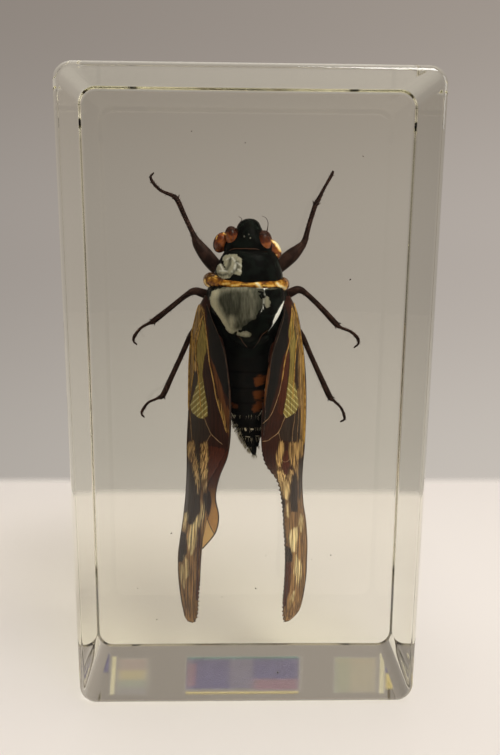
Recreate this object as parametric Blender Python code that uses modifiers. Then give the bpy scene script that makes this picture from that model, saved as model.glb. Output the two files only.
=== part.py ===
"""A cicada cast in a clear resin block that stands on its short end.

The origin is the centre of the block's base. +Z is up, towards the insect's head, and -Y is the front,
which the insect's back faces. Lengths in the tables are millimetres, and MM turns them into metres.

The resin is poured in two lifts, a back one and a front one, which meet in the plane Y = SEAM_Y. Each lift
holds its half of the pocket in which the insect lies. The pocket is the insect's form, grown and with
fewer faces, and it takes in the narrow gaps beside the body and between two wings.
"""

import math
from collections import namedtuple

import bmesh
import bpy
from mathutils import Matrix, Vector

MM = 0.001

# The block, which the mould's draft makes a little narrower at its base
TOP_WIDTH = 63.0
BASE_WIDTH = 61.0
BLOCK_DEPTH = 35.0
BLOCK_HEIGHT = 111.0
CORNER_RADIUS = 3.2
CORNER_STEPS = 6
EDGE_CHAMFER = 1.3
SHARP_ANGLE = math.radians(30)
SEAM_Y = 1.6
SEAM_GAP = 0.3

# The insect and its pocket. The tables give heights over the insect's own datum, this far above the base.
INSECT_DATUM = 0.5
WING_THICKNESS = 0.5
WING_ARCH = 1.0
FULL_ARCH_CHORD = 9.0  # a narrower wing arches less
HINDWING_CELLS = 2
JOINING_DISTANCE = 0.00001

# How much a form is grown outwards, and how finely it is cut into faces. A tube of resolution 2 has eight
# sides, and one of resolution 1 has six.
Grade = namedtuple("Grade", "grow loft_sides ball_sides ball_rings tube_resolution wing_cells")
INSECT = Grade(grow=0.0, loft_sides=16, ball_sides=10, ball_rings=8, tube_resolution=2, wing_cells=4)
POCKET = Grade(grow=0.62, loft_sides=12, ball_sides=8, ball_rings=6, tube_resolution=1, wing_cells=2)

# A section across the body: its height, its centre, and its half width and half depth
Section = namedtuple("Section", "z x y half_width half_depth")

# A rounded lump: its centre and its three radii
Lump = namedtuple("Lump", "centre radii")

HEAD = [
    Section(87.0, 0.3, 0.8, 0.7, 1.2),
    Section(86.3, 0.3, 0.7, 1.6, 2.3),
    Section(85.0, 0.2, 0.5, 2.3, 3.1),
    Section(84.0, 0.0, 0.3, 3.5, 3.3),
    Section(82.8, -0.1, 0.2, 4.6, 3.5),
    Section(81.4, -0.1, 0.2, 4.8, 3.7),
    Section(80.0, 0.0, 0.3, 4.2, 3.8),
]
PRONOTUM = [
    Section(81.3, 0.1, 0.2, 3.9, 3.7),
    Section(80.4, 0.1, 0.0, 4.8, 4.7),
    Section(78.6, 0.0, -0.1, 5.6, 5.4),
    Section(76.8, -0.1, -0.1, 6.2, 5.9),
    Section(75.0, -0.2, -0.1, 6.3, 6.0),
]
THORAX = [
    Section(76.0, -0.2, 0.6, 6.0, 5.3),
    Section(74.0, -0.3, 0.6, 7.4, 5.6),
    Section(71.0, -0.2, 0.7, 7.5, 5.6),
    Section(67.5, 0.0, 0.9, 6.6, 5.2),
    Section(64.0, 0.0, 1.2, 5.2, 4.6),
    Section(61.5, 0.0, 1.3, 4.4, 4.2),
]
MESONOTUM = [
    Section(75.4, -0.3, -2.4, 5.6, 3.6),
    Section(74.2, -0.4, -2.6, 6.6, 4.0),
    Section(72.3, -0.4, -2.7, 6.8, 4.2),
    Section(70.0, -0.3, -2.5, 5.9, 4.2),
    Section(68.0, -0.2, -2.2, 4.7, 3.9),
    Section(66.3, -0.1, -1.9, 3.5, 3.4),
    Section(64.6, 0.1, -1.4, 2.4, 2.6),
]
CRUCIFORM_ELEVATION = [
    Lump((-1.3, -3.6, 65.0), (2.3, 0.8, 0.8)),
    Lump((1.7, -3.6, 65.0), (2.3, 0.8, 0.8)),
]
EYES = [
    Lump((-5.0, 0.1, 82.3), (1.6, 1.8, 1.95)),
    Lump((4.6, 0.1, 81.5), (1.5, 1.8, 1.95)),
]
EYE_STALKS = [
    Lump((-3.1, -1.1, 83.4), (1.6, 1.8, 1.6)),
    Lump((2.8, -1.1, 82.9), (1.6, 1.8, 1.7)),
]
OPERCULA = [
    Lump((-2.7, 4.7, 62.6), (2.3, 1.3, 4.2)),
    Lump((2.7, 4.7, 62.6), (2.3, 1.3, 4.2)),
]
NARROW_GAPS = [
    Lump((-6.6, 1.2, 65.6), (1.6, 2.2, 8.0)),
    Lump((6.5, 1.2, 65.6), (1.5, 2.2, 8.0)),
    Lump((-9.6, 3.2, 33.0), (1.7, 2.8, 8.5)),
]

# The abdomen, from its root to its tip: height, centre, half width and half depth of its outline
ABDOMEN_OUTLINE = [
    Section(66.0, 0.0, 1.3, 4.7, 4.3),
    Section(60.0, 0.1, 1.4, 5.3, 4.6),
    Section(55.0, 0.2, 1.5, 4.8, 4.2),
    Section(51.0, 0.3, 1.5, 3.9, 3.5),
    Section(48.5, 0.4, 1.5, 2.9, 2.7),
    Section(46.4, 0.6, 1.4, 2.0, 1.9),
    Section(44.6, 0.9, 1.3, 1.1, 1.2),
    Section(43.1, 1.3, 1.2, 0.3, 0.4),
]
ABDOMEN_RINGS = [66.0, 62.6, 59.4, 56.4, 53.6, 51.0, 48.6, 46.6, 44.8]
RING_OVERLAP = 0.35  # how far a ring's rim stands over the next ring
RING_STEP = 0.22

# Tubes: x, y, z and radius at each point
COLLAR = [
    (-6.7, 2.2, 75.7, 0.7),
    (-7.1, 0.2, 75.9, 1.2),
    (-6.3, -3.0, 75.8, 1.05),
    (-4.2, -5.1, 75.5, 0.75),
    (-2.0, -6.0, 75.3, 0.65),
    (0.4, -6.1, 75.2, 0.65),
    (2.6, -5.6, 75.3, 0.7),
    (4.6, -4.2, 75.5, 0.8),
    (5.9, -2.2, 75.8, 1.05),
    (6.3, 0.4, 75.8, 1.2),
    (6.0, 2.2, 75.7, 0.7),
]
ROSTRUM = [
    (0.1, 2.6, 83.6, 1.0),
    (0.1, 4.6, 81.0, 0.8),
    (0.0, 5.9, 77.6, 0.55),
    (0.0, 6.5, 73.0, 0.4),
    (0.0, 6.6, 69.2, 0.25),
]
LEGS = {
    "front_left": [
        (-2.6, 3.6, 76.4, 1.5),
        (-4.6, 4.7, 77.0, 1.25),
        (-6.3, 5.0, 78.4, 1.35),
        (-7.9, 5.1, 80.3, 1.3),
        (-9.3, 5.2, 82.2, 0.95),
        (-10.1, 5.3, 83.9, 0.5),
        (-11.6, 5.7, 87.0, 0.45),
        (-13.0, 6.1, 90.0, 0.45),
        (-14.0, 6.4, 90.8, 0.4),
        (-15.9, 6.9, 91.6, 0.28),
        (-17.2, 7.1, 92.8, 0.3),
        (-17.8, 7.1, 94.0, 0.28),
        (-17.2, 7.1, 94.8, 0.14),
    ],
    "front_right": [
        (2.4, 3.6, 76.4, 1.5),
        (4.2, 4.7, 77.2, 1.25),
        (6.0, 5.0, 78.6, 1.35),
        (7.9, 5.1, 80.2, 1.3),
        (9.2, 5.2, 81.4, 0.95),
        (10.2, 5.3, 82.7, 0.6),
        (11.0, 5.7, 85.6, 0.45),
        (12.1, 6.1, 89.2, 0.42),
        (12.7, 6.3, 90.3, 0.45),
        (13.7, 6.6, 92.3, 0.28),
        (15.0, 7.0, 94.6, 0.3),
        (15.3, 7.1, 95.4, 0.26),
    ],
    "middle_left": [
        (-3.0, 4.6, 71.6, 1.4),
        (-5.8, 4.9, 72.4, 1.0),
        (-8.2, 4.2, 73.2, 0.85),
        (-9.9, 4.0, 73.6, 0.7),
        (-11.6, 4.6, 72.7, 0.5),
        (-14.6, 5.9, 70.3, 0.5),
        (-17.5, 7.0, 68.0, 0.58),
        (-18.6, 7.2, 67.4, 0.32),
        (-20.1, 7.6, 66.5, 0.28),
        (-21.3, 7.9, 65.0, 0.33),
        (-21.5, 8.0, 64.0, 0.26),
        (-20.9, 8.0, 63.3, 0.13),
    ],
    "middle_right": [
        (3.0, 4.6, 71.6, 1.4),
        (5.6, 4.9, 72.4, 1.0),
        (7.7, 4.2, 73.4, 0.85),
        (9.3, 4.0, 74.0, 0.7),
        (11.0, 4.6, 73.0, 0.5),
        (13.8, 5.9, 70.4, 0.52),
        (16.5, 7.0, 67.6, 0.58),
        (17.6, 7.2, 66.8, 0.32),
        (19.5, 7.6, 66.0, 0.3),
        (20.8, 7.9, 64.8, 0.34),
        (21.0, 8.0, 63.7, 0.26),
        (20.2, 8.0, 62.9, 0.13),
    ],
    "hind_left": [
        (-2.6, 5.0, 66.4, 1.3),
        (-5.6, 6.0, 67.0, 0.95),
        (-8.6, 6.3, 67.2, 0.75),
        (-10.5, 6.4, 65.6, 0.55),
        (-12.4, 7.0, 61.6, 0.48),
        (-14.4, 7.6, 57.3, 0.5),
        (-16.1, 8.0, 53.7, 0.55),
        (-17.2, 8.2, 53.0, 0.3),
        (-19.0, 8.6, 52.1, 0.27),
        (-20.1, 8.9, 50.6, 0.3),
        (-20.3, 9.0, 49.8, 0.24),
        (-19.8, 9.0, 49.1, 0.12),
    ],
    "hind_right": [
        (2.6, 5.0, 66.4, 1.3),
        (5.4, 6.0, 67.0, 0.95),
        (8.2, 6.3, 67.2, 0.75),
        (10.1, 6.4, 65.4, 0.55),
        (12.0, 7.0, 61.4, 0.48),
        (14.0, 7.6, 57.2, 0.52),
        (15.8, 8.0, 53.5, 0.57),
        (16.7, 8.2, 52.6, 0.3),
        (18.1, 8.6, 51.2, 0.27),
        (18.8, 8.9, 49.6, 0.3),
        (18.8, 9.0, 48.8, 0.24),
        (18.1, 9.0, 48.3, 0.12),
    ],
}

# Wings, from root to tip: height, then x and y of the front margin, then x and y of the inner margin
Rib = namedtuple("Rib", "z front_x front_y inner_x inner_y")
FOREWINGS = {
    "left": [
        Rib(73.0, -7.9, 1.2, -6.6, -1.6),
        Rib(70.0, -9.4, 3.6, -6.9, -2.6),
        Rib(66.5, -10.3, 5.8, -5.5, -3.3),
        Rib(62.5, -10.9, 7.4, -4.2, -3.8),
        Rib(57.0, -11.1, 8.4, -3.5, -3.8),
        Rib(51.0, -11.2, 8.6, -3.3, -3.3),
        Rib(45.5, -11.5, 8.4, -3.6, -2.5),
        Rib(42.0, -11.6, 8.0, -5.2, -1.9),
        Rib(38.0, -11.6, 7.5, -7.2, -1.4),
        Rib(33.0, -12.1, 6.8, -8.0, -0.9),
        Rib(28.0, -12.8, 6.1, -8.6, -0.4),
        Rib(23.0, -13.5, 5.3, -9.0, 0.1),
        Rib(18.5, -13.6, 4.6, -9.3, 0.5),
        Rib(14.0, -13.2, 3.9, -9.4, 0.8),
        Rib(10.5, -12.6, 3.3, -9.9, 1.2),
        Rib(8.2, -11.8, 2.8, -10.8, 1.7),
    ],
    "right": [
        Rib(73.0, 7.5, 1.2, 6.2, -1.6),
        Rib(70.0, 9.0, 3.6, 6.2, -2.6),
        Rib(66.5, 9.9, 5.8, 5.1, -3.3),
        Rib(62.5, 10.6, 7.4, 4.0, -3.8),
        Rib(57.0, 11.2, 8.4, 3.1, -3.8),
        Rib(51.0, 11.4, 8.6, 2.7, -3.3),
        Rib(46.0, 11.3, 8.4, 2.5, -2.5),
        Rib(42.0, 11.1, 8.0, 3.3, -1.9),
        Rib(38.5, 10.7, 7.5, 5.6, -1.4),
        Rib(34.0, 10.8, 6.8, 6.4, -0.9),
        Rib(29.0, 11.6, 6.1, 6.8, -0.4),
        Rib(24.0, 12.0, 5.3, 7.3, 0.1),
        Rib(18.5, 11.9, 4.6, 7.1, 0.5),
        Rib(14.0, 11.3, 3.9, 6.7, 0.8),
        Rib(10.5, 10.5, 3.3, 7.0, 1.2),
        Rib(8.2, 8.9, 2.8, 7.8, 1.7),
    ],
}
HINDWINGS = {
    "left": [
        Rib(70.5, -7.4, 2.4, -6.3, -0.8),
        Rib(64.0, -9.4, 5.6, -4.4, -1.8),
        Rib(56.0, -9.8, 6.6, -3.3, -1.8),
        Rib(49.0, -9.8, 6.6, -3.1, -1.2),
        Rib(43.5, -9.8, 6.4, -3.6, -0.6),
        Rib(39.0, -9.8, 6.0, -5.2, 0.0),
        Rib(35.0, -9.8, 5.4, -5.9, 0.6),
        Rib(31.0, -9.9, 4.8, -5.3, 0.8),
        Rib(27.8, -9.9, 4.2, -6.0, 1.0),
        Rib(24.6, -9.9, 3.4, -8.4, 1.4),
    ],
    "right": [
        Rib(70.5, 7.0, 2.4, 5.8, -0.8),
        Rib(64.0, 9.0, 5.6, 4.0, -1.8),
        Rib(56.0, 9.6, 6.6, 2.9, -1.8),
        Rib(49.0, 9.8, 6.6, 2.5, -1.2),
        Rib(44.0, 9.8, 6.4, 2.8, -0.6),
        Rib(40.5, 9.6, 6.0, 4.6, 0.2),
        Rib(37.0, 9.4, 5.4, 6.4, 1.2),
    ],
}

RESIN_LOOK = ("clear_resin", (0.93, 0.93, 0.88), 0.03)
CUTICLE_LOOK = ("black_cuticle", (0.035, 0.02, 0.015), 0.25)


def clear_scene():
    """Removes what the startup scene holds."""
    for thing in list(bpy.data.objects):
        bpy.data.objects.remove(thing)


def new_collection(name, shown):
    """A collection in the scene. A helper collection is left out of the render."""
    collection = bpy.data.collections.new(name)
    bpy.context.scene.collection.children.link(collection)
    collection.hide_render = not shown
    return collection


def material(name, colour, roughness):
    """A plain Principled material."""
    made = bpy.data.materials.new(name)
    made.use_nodes = True
    surface = made.node_tree.nodes["Principled BSDF"]
    surface.inputs["Base Color"].default_value = (*colour, 1.0)
    surface.inputs["Roughness"].default_value = roughness
    surface.inputs["Metallic"].default_value = 0.0
    return made


def object_from_bmesh(name, mesh_data, collection):
    """Turns a bmesh into an object of the given collection."""
    mesh = bpy.data.meshes.new(name)
    bmesh.ops.recalc_face_normals(mesh_data, faces=mesh_data.faces)
    mesh_data.to_mesh(mesh)
    mesh_data.free()
    thing = bpy.data.objects.new(name, mesh)
    collection.objects.link(thing)
    return thing


def helper(thing):
    """Marks a rounded object as one that only shapes another."""
    thing.data.shade_smooth()
    thing.hide_render = True
    thing.display_type = "WIRE"
    return thing


def loft(name, sections, grade, collection):
    """A closed skin over elliptical sections."""
    shape = bmesh.new()
    rings = []
    sides = grade.loft_sides
    grow = grade.grow
    last = len(sections) - 1
    downwards = 1 if sections[0].z > sections[last].z else -1
    for index, section in enumerate(sections):
        height = section.z
        if index == 0:
            height += grow * downwards
        if index == last:
            height -= grow * downwards
        ring = []
        for side in range(sides):
            angle = 2 * math.pi * side / sides
            ring.append(
                shape.verts.new(
                    Vector(
                        (
                            section.x + (section.half_width + grow) * math.cos(angle),
                            section.y + (section.half_depth + grow) * math.sin(angle),
                            height,
                        )
                    )
                    * MM
                )
            )
        rings.append(ring)
    for upper, lower in zip(rings, rings[1:]):
        for side in range(sides):
            following = (side + 1) % sides
            shape.faces.new((upper[side], upper[following], lower[following], lower[side]))
    shape.faces.new(rings[0])
    shape.faces.new(rings[last])
    return helper(object_from_bmesh(name, shape, collection))


def ellipsoid(name, lump, grade, collection):
    """A stretched sphere."""
    shape = bmesh.new()
    radii = [(radius + grade.grow) * MM for radius in lump.radii]
    place = Matrix.Translation(Vector(lump.centre) * MM) @ Matrix.Diagonal((*radii, 1.0))
    bmesh.ops.create_uvsphere(
        shape, u_segments=grade.ball_sides, v_segments=grade.ball_rings, radius=1.0, matrix=place
    )
    return helper(object_from_bmesh(name, shape, collection))


def tube(name, points, grade, collection):
    """A tapering round tube along the points, which grows in its length too."""
    grow = grade.grow
    places = [Vector(point[:3]) for point in points]
    places[0] += (places[0] - places[1]).normalized() * grow
    places[-1] += (places[-1] - places[-2]).normalized() * grow
    curve = bpy.data.curves.new(name, "CURVE")
    curve.dimensions = "3D"
    curve.bevel_depth = MM
    curve.bevel_resolution = grade.tube_resolution
    curve.use_fill_caps = True
    line = curve.splines.new("POLY")
    line.points.add(len(points) - 1)
    for spline_point, place, point in zip(line.points, places, points):
        spline_point.co = (*(place * MM), 1.0)
        spline_point.radius = point[3] + grow
    guide = bpy.data.objects.new(name + "_line", curve)
    collection.objects.link(guide)
    evaluated = guide.evaluated_get(bpy.context.evaluated_depsgraph_get())
    shape = bmesh.new()
    shape.from_mesh(bpy.data.meshes.new_from_object(evaluated))
    bmesh.ops.remove_doubles(shape, verts=shape.verts, dist=JOINING_DISTANCE)
    bpy.data.objects.remove(guide)
    return helper(object_from_bmesh(name, shape, collection))


def wing_point(ribs, along, across, side):
    """A point of the wing sheet and the wing's breadth there.

    along counts ribs from the root, and across runs from 0 at the front margin to 1 at the inner one.
    """
    index = min(max(int(along), 0), len(ribs) - 2)
    share = along - index
    between = Rib(*(a + (b - a) * share for a, b in zip(ribs[index], ribs[index + 1])))
    front = Vector((between.front_x, between.front_y, between.z))
    chord = Vector((between.inner_x, between.inner_y, between.z)) - front
    outwards = Vector((side * abs(chord.y), -abs(chord.x), 0.0)).normalized()
    arch = WING_ARCH * min(chord.length / FULL_ARCH_CHORD, 1.0)
    bulge = arch * math.sin(math.pi * min(max(across, 0.0), 1.0))
    return front + chord * across + outwards * bulge, chord.length


def wing(name, ribs, cells, side, grade, collection):
    """A wing: an arched sheet between its margins, given a thickness. It grows at its margins and its faces."""
    grow = grade.grow
    rows = len(ribs)
    bpy.ops.mesh.primitive_grid_add(x_subdivisions=cells, y_subdivisions=rows - 1, size=1.0)
    thing = bpy.context.object
    thing.name = name
    for user in list(thing.users_collection):
        user.objects.unlink(thing)
    collection.objects.link(thing)
    mesh = thing.data
    for vertex in mesh.vertices:
        across = vertex.co.x + 0.5
        along = (vertex.co.y + 0.5) * (rows - 1)
        point, breadth = wing_point(ribs, along, across, side)
        if grow:
            spare = grow / max(breadth, grow)
            point, breadth = wing_point(ribs, along, across * (1 + 2 * spare) - spare, side)
            if along < 0.5:
                point.z += grow
            if along > rows - 1.5:
                point.z -= grow
        vertex.co = point * MM
    thickness = thing.modifiers.new("thickness", "SOLIDIFY")
    thickness.thickness = (WING_THICKNESS + 2 * grow) * MM
    thickness.offset = 0.0
    graph = bpy.context.evaluated_depsgraph_get()
    shape = bmesh.new()
    shape.from_mesh(bpy.data.meshes.new_from_object(thing.evaluated_get(graph)))
    bpy.data.objects.remove(thing)
    return helper(object_from_bmesh(name, shape, collection))


def abdomen_outline(height):
    """The abdomen's section at a height, between those of its outline."""
    for upper, lower in zip(ABDOMEN_OUTLINE, ABDOMEN_OUTLINE[1:]):
        if height >= lower.z:
            share = (upper.z - height) / (upper.z - lower.z)
            return Section(*(a + (b - a) * share for a, b in zip(upper, lower)))
    return ABDOMEN_OUTLINE[-1]


def abdomen_sections():
    """The abdomen's rings: each is widest at its rear rim, which stands over the next one."""
    sections = []
    for upper, lower in zip(ABDOMEN_RINGS, ABDOMEN_RINGS[1:]):
        front = abdomen_outline(upper)
        rim = abdomen_outline(lower + RING_OVERLAP)
        sections.append(
            front._replace(half_width=front.half_width - RING_STEP, half_depth=front.half_depth - RING_STEP)
        )
        sections.append(rim)
    last = abdomen_outline(ABDOMEN_RINGS[-1])
    sections.append(last._replace(half_width=last.half_width - RING_STEP, half_depth=last.half_depth - RING_STEP))
    sections.append(ABDOMEN_OUTLINE[-1])
    return sections


def insect_pieces(label, grade, collection):
    """The insect's pieces, which overlap where they meet. The first is the thorax, which carries the others."""
    abdomen = abdomen_sections()
    lumps = EYES + EYE_STALKS + CRUCIFORM_ELEVATION + OPERCULA
    if grade is POCKET:
        abdomen = ABDOMEN_OUTLINE
        lumps = lumps + NARROW_GAPS
    pieces = [
        loft(label + "_thorax", THORAX, grade, collection),
        loft(label + "_head", HEAD, grade, collection),
        loft(label + "_pronotum", PRONOTUM, grade, collection),
        loft(label + "_mesonotum", MESONOTUM, grade, collection),
        loft(label + "_abdomen", abdomen, grade, collection),
        tube(label + "_collar", COLLAR, grade, collection),
        tube(label + "_rostrum", ROSTRUM, grade, collection),
    ]
    for number, lump in enumerate(lumps):
        pieces.append(ellipsoid(f"{label}_lump_{number}", lump, grade, collection))
    for place, points in LEGS.items():
        pieces.append(tube(f"{label}_leg_{place}", points, grade, collection))
    for place, side in (("left", -1), ("right", 1)):
        forewing = FOREWINGS[place]
        hindwing = HINDWINGS[place]
        pieces.append(wing(f"{label}_forewing_{place}", forewing, grade.wing_cells, side, grade, collection))
        pieces.append(wing(f"{label}_hindwing_{place}", hindwing, HINDWING_CELLS, side, grade, collection))
    return pieces


def add_boolean(thing, operation, other):
    """A Boolean with one object or with all those of a collection."""
    step = thing.modifiers.new(operation.lower(), "BOOLEAN")
    step.operation = operation
    step.solver = "EXACT"
    step.use_self = operation == "UNION"
    if isinstance(other, bpy.types.Collection):
        step.operand_type = "COLLECTION"
        step.collection = other
    else:
        step.object = other
    return step


def fused_insect(name, grade, shown_in):
    """The whole insect as one solid: its thorax joined with all that grows from it."""
    grown_parts = new_collection(name + "_parts", shown=False)
    pieces = insect_pieces(name, grade, grown_parts)
    thorax = pieces[0]
    grown_parts.objects.unlink(thorax)
    shown_in.objects.link(thorax)
    thorax.name = name
    for piece in pieces:
        piece.location.z = INSECT_DATUM * MM
    add_boolean(thorax, "UNION", grown_parts)
    return thorax


def block_half(name, near_y, far_y, outer_is_near, collection):
    """One lift of the block: a slab with round corners, chamfered along the rim of its outer face."""
    shape = bmesh.new()
    middle = Vector((0.0, (near_y + far_y) / 2, BLOCK_HEIGHT / 2)) * MM
    size = Vector((TOP_WIDTH, far_y - near_y, BLOCK_HEIGHT)) * MM
    bmesh.ops.create_cube(shape, size=1.0, matrix=Matrix.Translation(middle) @ Matrix.Diagonal((*size, 1.0)))
    through = [edge for edge in shape.edges if abs((edge.verts[0].co - edge.verts[1].co).y) > 0.5 * size.y]
    bmesh.ops.bevel(
        shape,
        geom=through,
        offset=CORNER_RADIUS * MM,
        segments=CORNER_STEPS,
        profile=0.5,
        affect="EDGES",
    )
    outer_y = (near_y if outer_is_near else far_y) * MM
    rim = [
        edge
        for edge in shape.edges
        if all(abs(vertex.co.y - outer_y) < JOINING_DISTANCE for vertex in edge.verts)
    ]
    bmesh.ops.bevel(shape, geom=rim, offset=EDGE_CHAMFER * MM, segments=1, affect="EDGES")
    for vertex in shape.verts:
        height_share = vertex.co.z / size.z
        vertex.co.x *= (BASE_WIDTH + (TOP_WIDTH - BASE_WIDTH) * height_share) / TOP_WIDTH
    half = object_from_bmesh(name, shape, collection)
    half.data.shade_smooth()
    half.data.set_sharp_from_angle(angle=SHARP_ANGLE)
    return half


def build():
    """Makes the two lifts of resin and the insect between them."""
    clear_scene()
    specimen = new_collection("cicada_in_resin", shown=True)
    cutters = new_collection("cutters", shown=False)
    resin = material(*RESIN_LOOK)
    cuticle = material(*CUTICLE_LOOK)

    cicada = fused_insect("cicada", INSECT, specimen)
    cicada.hide_render = False
    cicada.display_type = "TEXTURED"
    cicada.data.materials.append(cuticle)

    pocket = fused_insect("pocket", POCKET, cutters)
    half_depth = BLOCK_DEPTH / 2
    front = block_half("resin_front", -half_depth, SEAM_Y - SEAM_GAP / 2, True, specimen)
    back = block_half("resin_back", SEAM_Y + SEAM_GAP / 2, half_depth, False, specimen)
    for half in (front, back):
        half.data.materials.append(resin)
        add_boolean(half, "DIFFERENCE", pocket)


build()
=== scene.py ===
"""The looks of a cicada cast in a clear resin block.

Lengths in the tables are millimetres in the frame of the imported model: the origin is the centre of the
block's base, +Z is up, and -Y is the front. Outlines of marks are given as points of the photograph, which
is 500 x 755 pixels, and SightLines turns them into millimetres.
"""

import logging
import math
from dataclasses import dataclass, field
from enum import Enum
from typing import Iterable, Sequence

import bmesh
import bpy
import numpy as np
from mathutils import Matrix, Vector


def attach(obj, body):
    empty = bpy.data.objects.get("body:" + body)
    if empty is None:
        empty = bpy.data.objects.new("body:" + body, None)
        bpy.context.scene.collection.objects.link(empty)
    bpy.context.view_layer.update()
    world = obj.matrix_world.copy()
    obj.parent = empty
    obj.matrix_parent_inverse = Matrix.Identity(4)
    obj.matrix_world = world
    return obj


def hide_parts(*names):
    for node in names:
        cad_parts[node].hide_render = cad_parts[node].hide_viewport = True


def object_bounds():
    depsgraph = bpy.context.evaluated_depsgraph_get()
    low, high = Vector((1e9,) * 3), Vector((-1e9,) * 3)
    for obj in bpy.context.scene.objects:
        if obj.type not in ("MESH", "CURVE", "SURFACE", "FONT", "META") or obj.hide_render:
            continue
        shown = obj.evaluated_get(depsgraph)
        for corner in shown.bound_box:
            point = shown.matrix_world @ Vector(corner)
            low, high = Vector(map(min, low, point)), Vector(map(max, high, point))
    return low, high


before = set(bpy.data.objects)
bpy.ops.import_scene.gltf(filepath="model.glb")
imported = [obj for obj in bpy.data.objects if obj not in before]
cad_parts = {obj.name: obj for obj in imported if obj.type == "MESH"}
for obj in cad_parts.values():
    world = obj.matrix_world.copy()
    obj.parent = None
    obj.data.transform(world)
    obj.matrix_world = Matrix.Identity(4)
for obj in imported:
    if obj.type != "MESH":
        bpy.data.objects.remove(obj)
CAD_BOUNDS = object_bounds()

LOG = logging.getLogger("cicada")
MM = 0.001
# The tables of the insect give heights over its own datum, this far above the base.
INSECT_DATUM = 0.5
BODY = "root"

Material = bpy.types.Material
Node = bpy.types.Node
Piece = bpy.types.Object
Socket = bpy.types.NodeSocket
Tree = bpy.types.NodeTree
Pixel = tuple[float, float]
Point = tuple[float, ...]
Colour = tuple[float, float, float]


def from_screen(red: int, green: int, blue: int) -> Colour:
    """A colour as it looks on a screen, 0 to 255, in the linear values that shaders take."""
    linear = []
    for value in (red, green, blue):
        share = value / 255
        linear.append(share / 12.92 if share <= 0.04045 else ((share + 0.055) / 1.055) ** 2.4)
    return tuple(linear)


class Slot(Enum):
    """The record's material slots."""

    RESIN = "clear_resin"
    CUTICLE = "cicada_cuticle"


# Curves, meshes and outlines


def smooth(rows: Sequence[Point], count: int) -> np.ndarray:
    """Points on a smooth curve through the given ones.

    Args:
        rows: The points that the curve passes, of any number of values each.
        count: How many points to return, evenly spread over the stretches.

    Returns:
        An array of count rows.
    """
    known = np.asarray(rows, dtype=float)
    last = len(known) - 1
    place = np.linspace(0.0, last, count)
    index = np.clip(place.astype(int), 0, last - 1)
    share = (place - index)[:, None]
    before = known[np.clip(index - 1, 0, last)]
    start = known[index]
    end = known[index + 1]
    after = known[np.clip(index + 2, 0, last)]
    return 0.5 * (
        2 * start
        + (end - before) * share
        + (2 * before - 5 * start + 4 * end - after) * share**2
        + (3 * start - before - 3 * end + after) * share**3
    )


def smoothstep(low: float, high: float, value: np.ndarray) -> np.ndarray:
    """A soft step from 0 at low to 1 at high."""
    share = np.clip((value - low) / (high - low), 0.0, 1.0)
    return share * share * (3 - 2 * share)


@dataclass(frozen=True)
class SightLines:
    """Where the photograph's lines of sight meet the plane y = depth inside the resin."""

    depth: float = 3.0
    row_top: float = 300.0
    row_step: float = 150.0
    spread: float = 0.0035
    level: float = 72.0
    fall: float = 0.05
    fall_growth: float = 0.0043

    def to_plane(self, column: float, row: float) -> tuple[float, float]:
        """The place x, z on the plane that a pixel of the photograph shows."""
        down = (row - self.row_top) / self.row_step
        scale = 0.18364 + 0.005 * down + 0.00046 * down**2
        middle = 248.3 - 1.4 * down + 0.2 * down**2
        return (column - middle) * scale, 72.1 - 27.35 * down - 0.95 * down**2

    def drop(self, behind: float | np.ndarray, z: float | np.ndarray) -> float | np.ndarray:
        """How far a line of sight falls over a stretch behind the plane, at a height."""
        return behind * (self.fall + self.fall_growth * (self.level - z))

    def slide(self, points: np.ndarray) -> tuple[np.ndarray, np.ndarray]:
        """Slides points along the lines of sight to the plane, and gives their x and z there."""
        behind = points[..., 1] - self.depth
        x = points[..., 0] / (1 + self.spread * behind)
        return x, points[..., 2] + self.drop(behind, points[..., 2])


SIGHT = SightLines()


def line_distance(corners: np.ndarray, x: np.ndarray, z: np.ndarray) -> np.ndarray:
    """The distance from points to a line of straight stretches between corners."""
    nearest = np.full(x.shape, np.inf)
    for (ax, az), (bx, bz) in zip(corners, corners[1:]):
        dx, dz = bx - ax, bz - az
        share = np.clip(((x - ax) * dx + (z - az) * dz) / (dx * dx + dz * dz), 0.0, 1.0)
        nearest = np.minimum(nearest, np.hypot(x - ax - share * dx, z - az - share * dz))
    return nearest


@dataclass(frozen=True)
class Stroke:
    """A stroke of a mark along a line in pixels of the photograph, with its width in millimetres."""

    pixels: tuple[Pixel, ...]
    width: float

    def field(self, points: np.ndarray, reach: float = 1.0) -> np.ndarray:
        """How far points lie inside the stroke: 0.5 on its edge, as an outline's field."""
        corners = np.array([SIGHT.to_plane(*pixel) for pixel in self.pixels])
        inside = self.width / 2 - line_distance(corners, *SIGHT.slide(points))
        return np.clip(0.5 + 0.5 * inside / reach, 0.0, 1.0)


@dataclass(frozen=True)
class Outline:
    """A closed outline of a mark, in pixels of the photograph."""

    pixels: tuple[Pixel, ...]

    def field(self, points: np.ndarray, reach: float = 1.0) -> np.ndarray:
        """How far points lie inside the outline.

        Args:
            points: Points in millimetres, seen from the front.
            reach: The distance in millimetres over which the value goes from 0.5 to 0 or 1.

        Returns:
            0.5 on the outline, more inside it and less outside.
        """
        corners = np.array([SIGHT.to_plane(*pixel) for pixel in self.pixels])
        x, z = SIGHT.slide(points)
        nearest = line_distance(np.vstack([corners, corners[:1]]), x, z)
        inside = np.zeros(x.shape, dtype=bool)
        for (ax, az), (bx, bz) in zip(corners, np.roll(corners, -1, axis=0)):
            crosses = (az > z) != (bz > z)
            with np.errstate(divide="ignore", invalid="ignore"):
                inside ^= crosses & (x < (bx - ax) * (z - az) / (bz - az) + ax)
        signed = np.where(inside, nearest, -nearest)
        return np.clip(0.5 + 0.5 * signed / reach, 0.0, 1.0)


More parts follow.
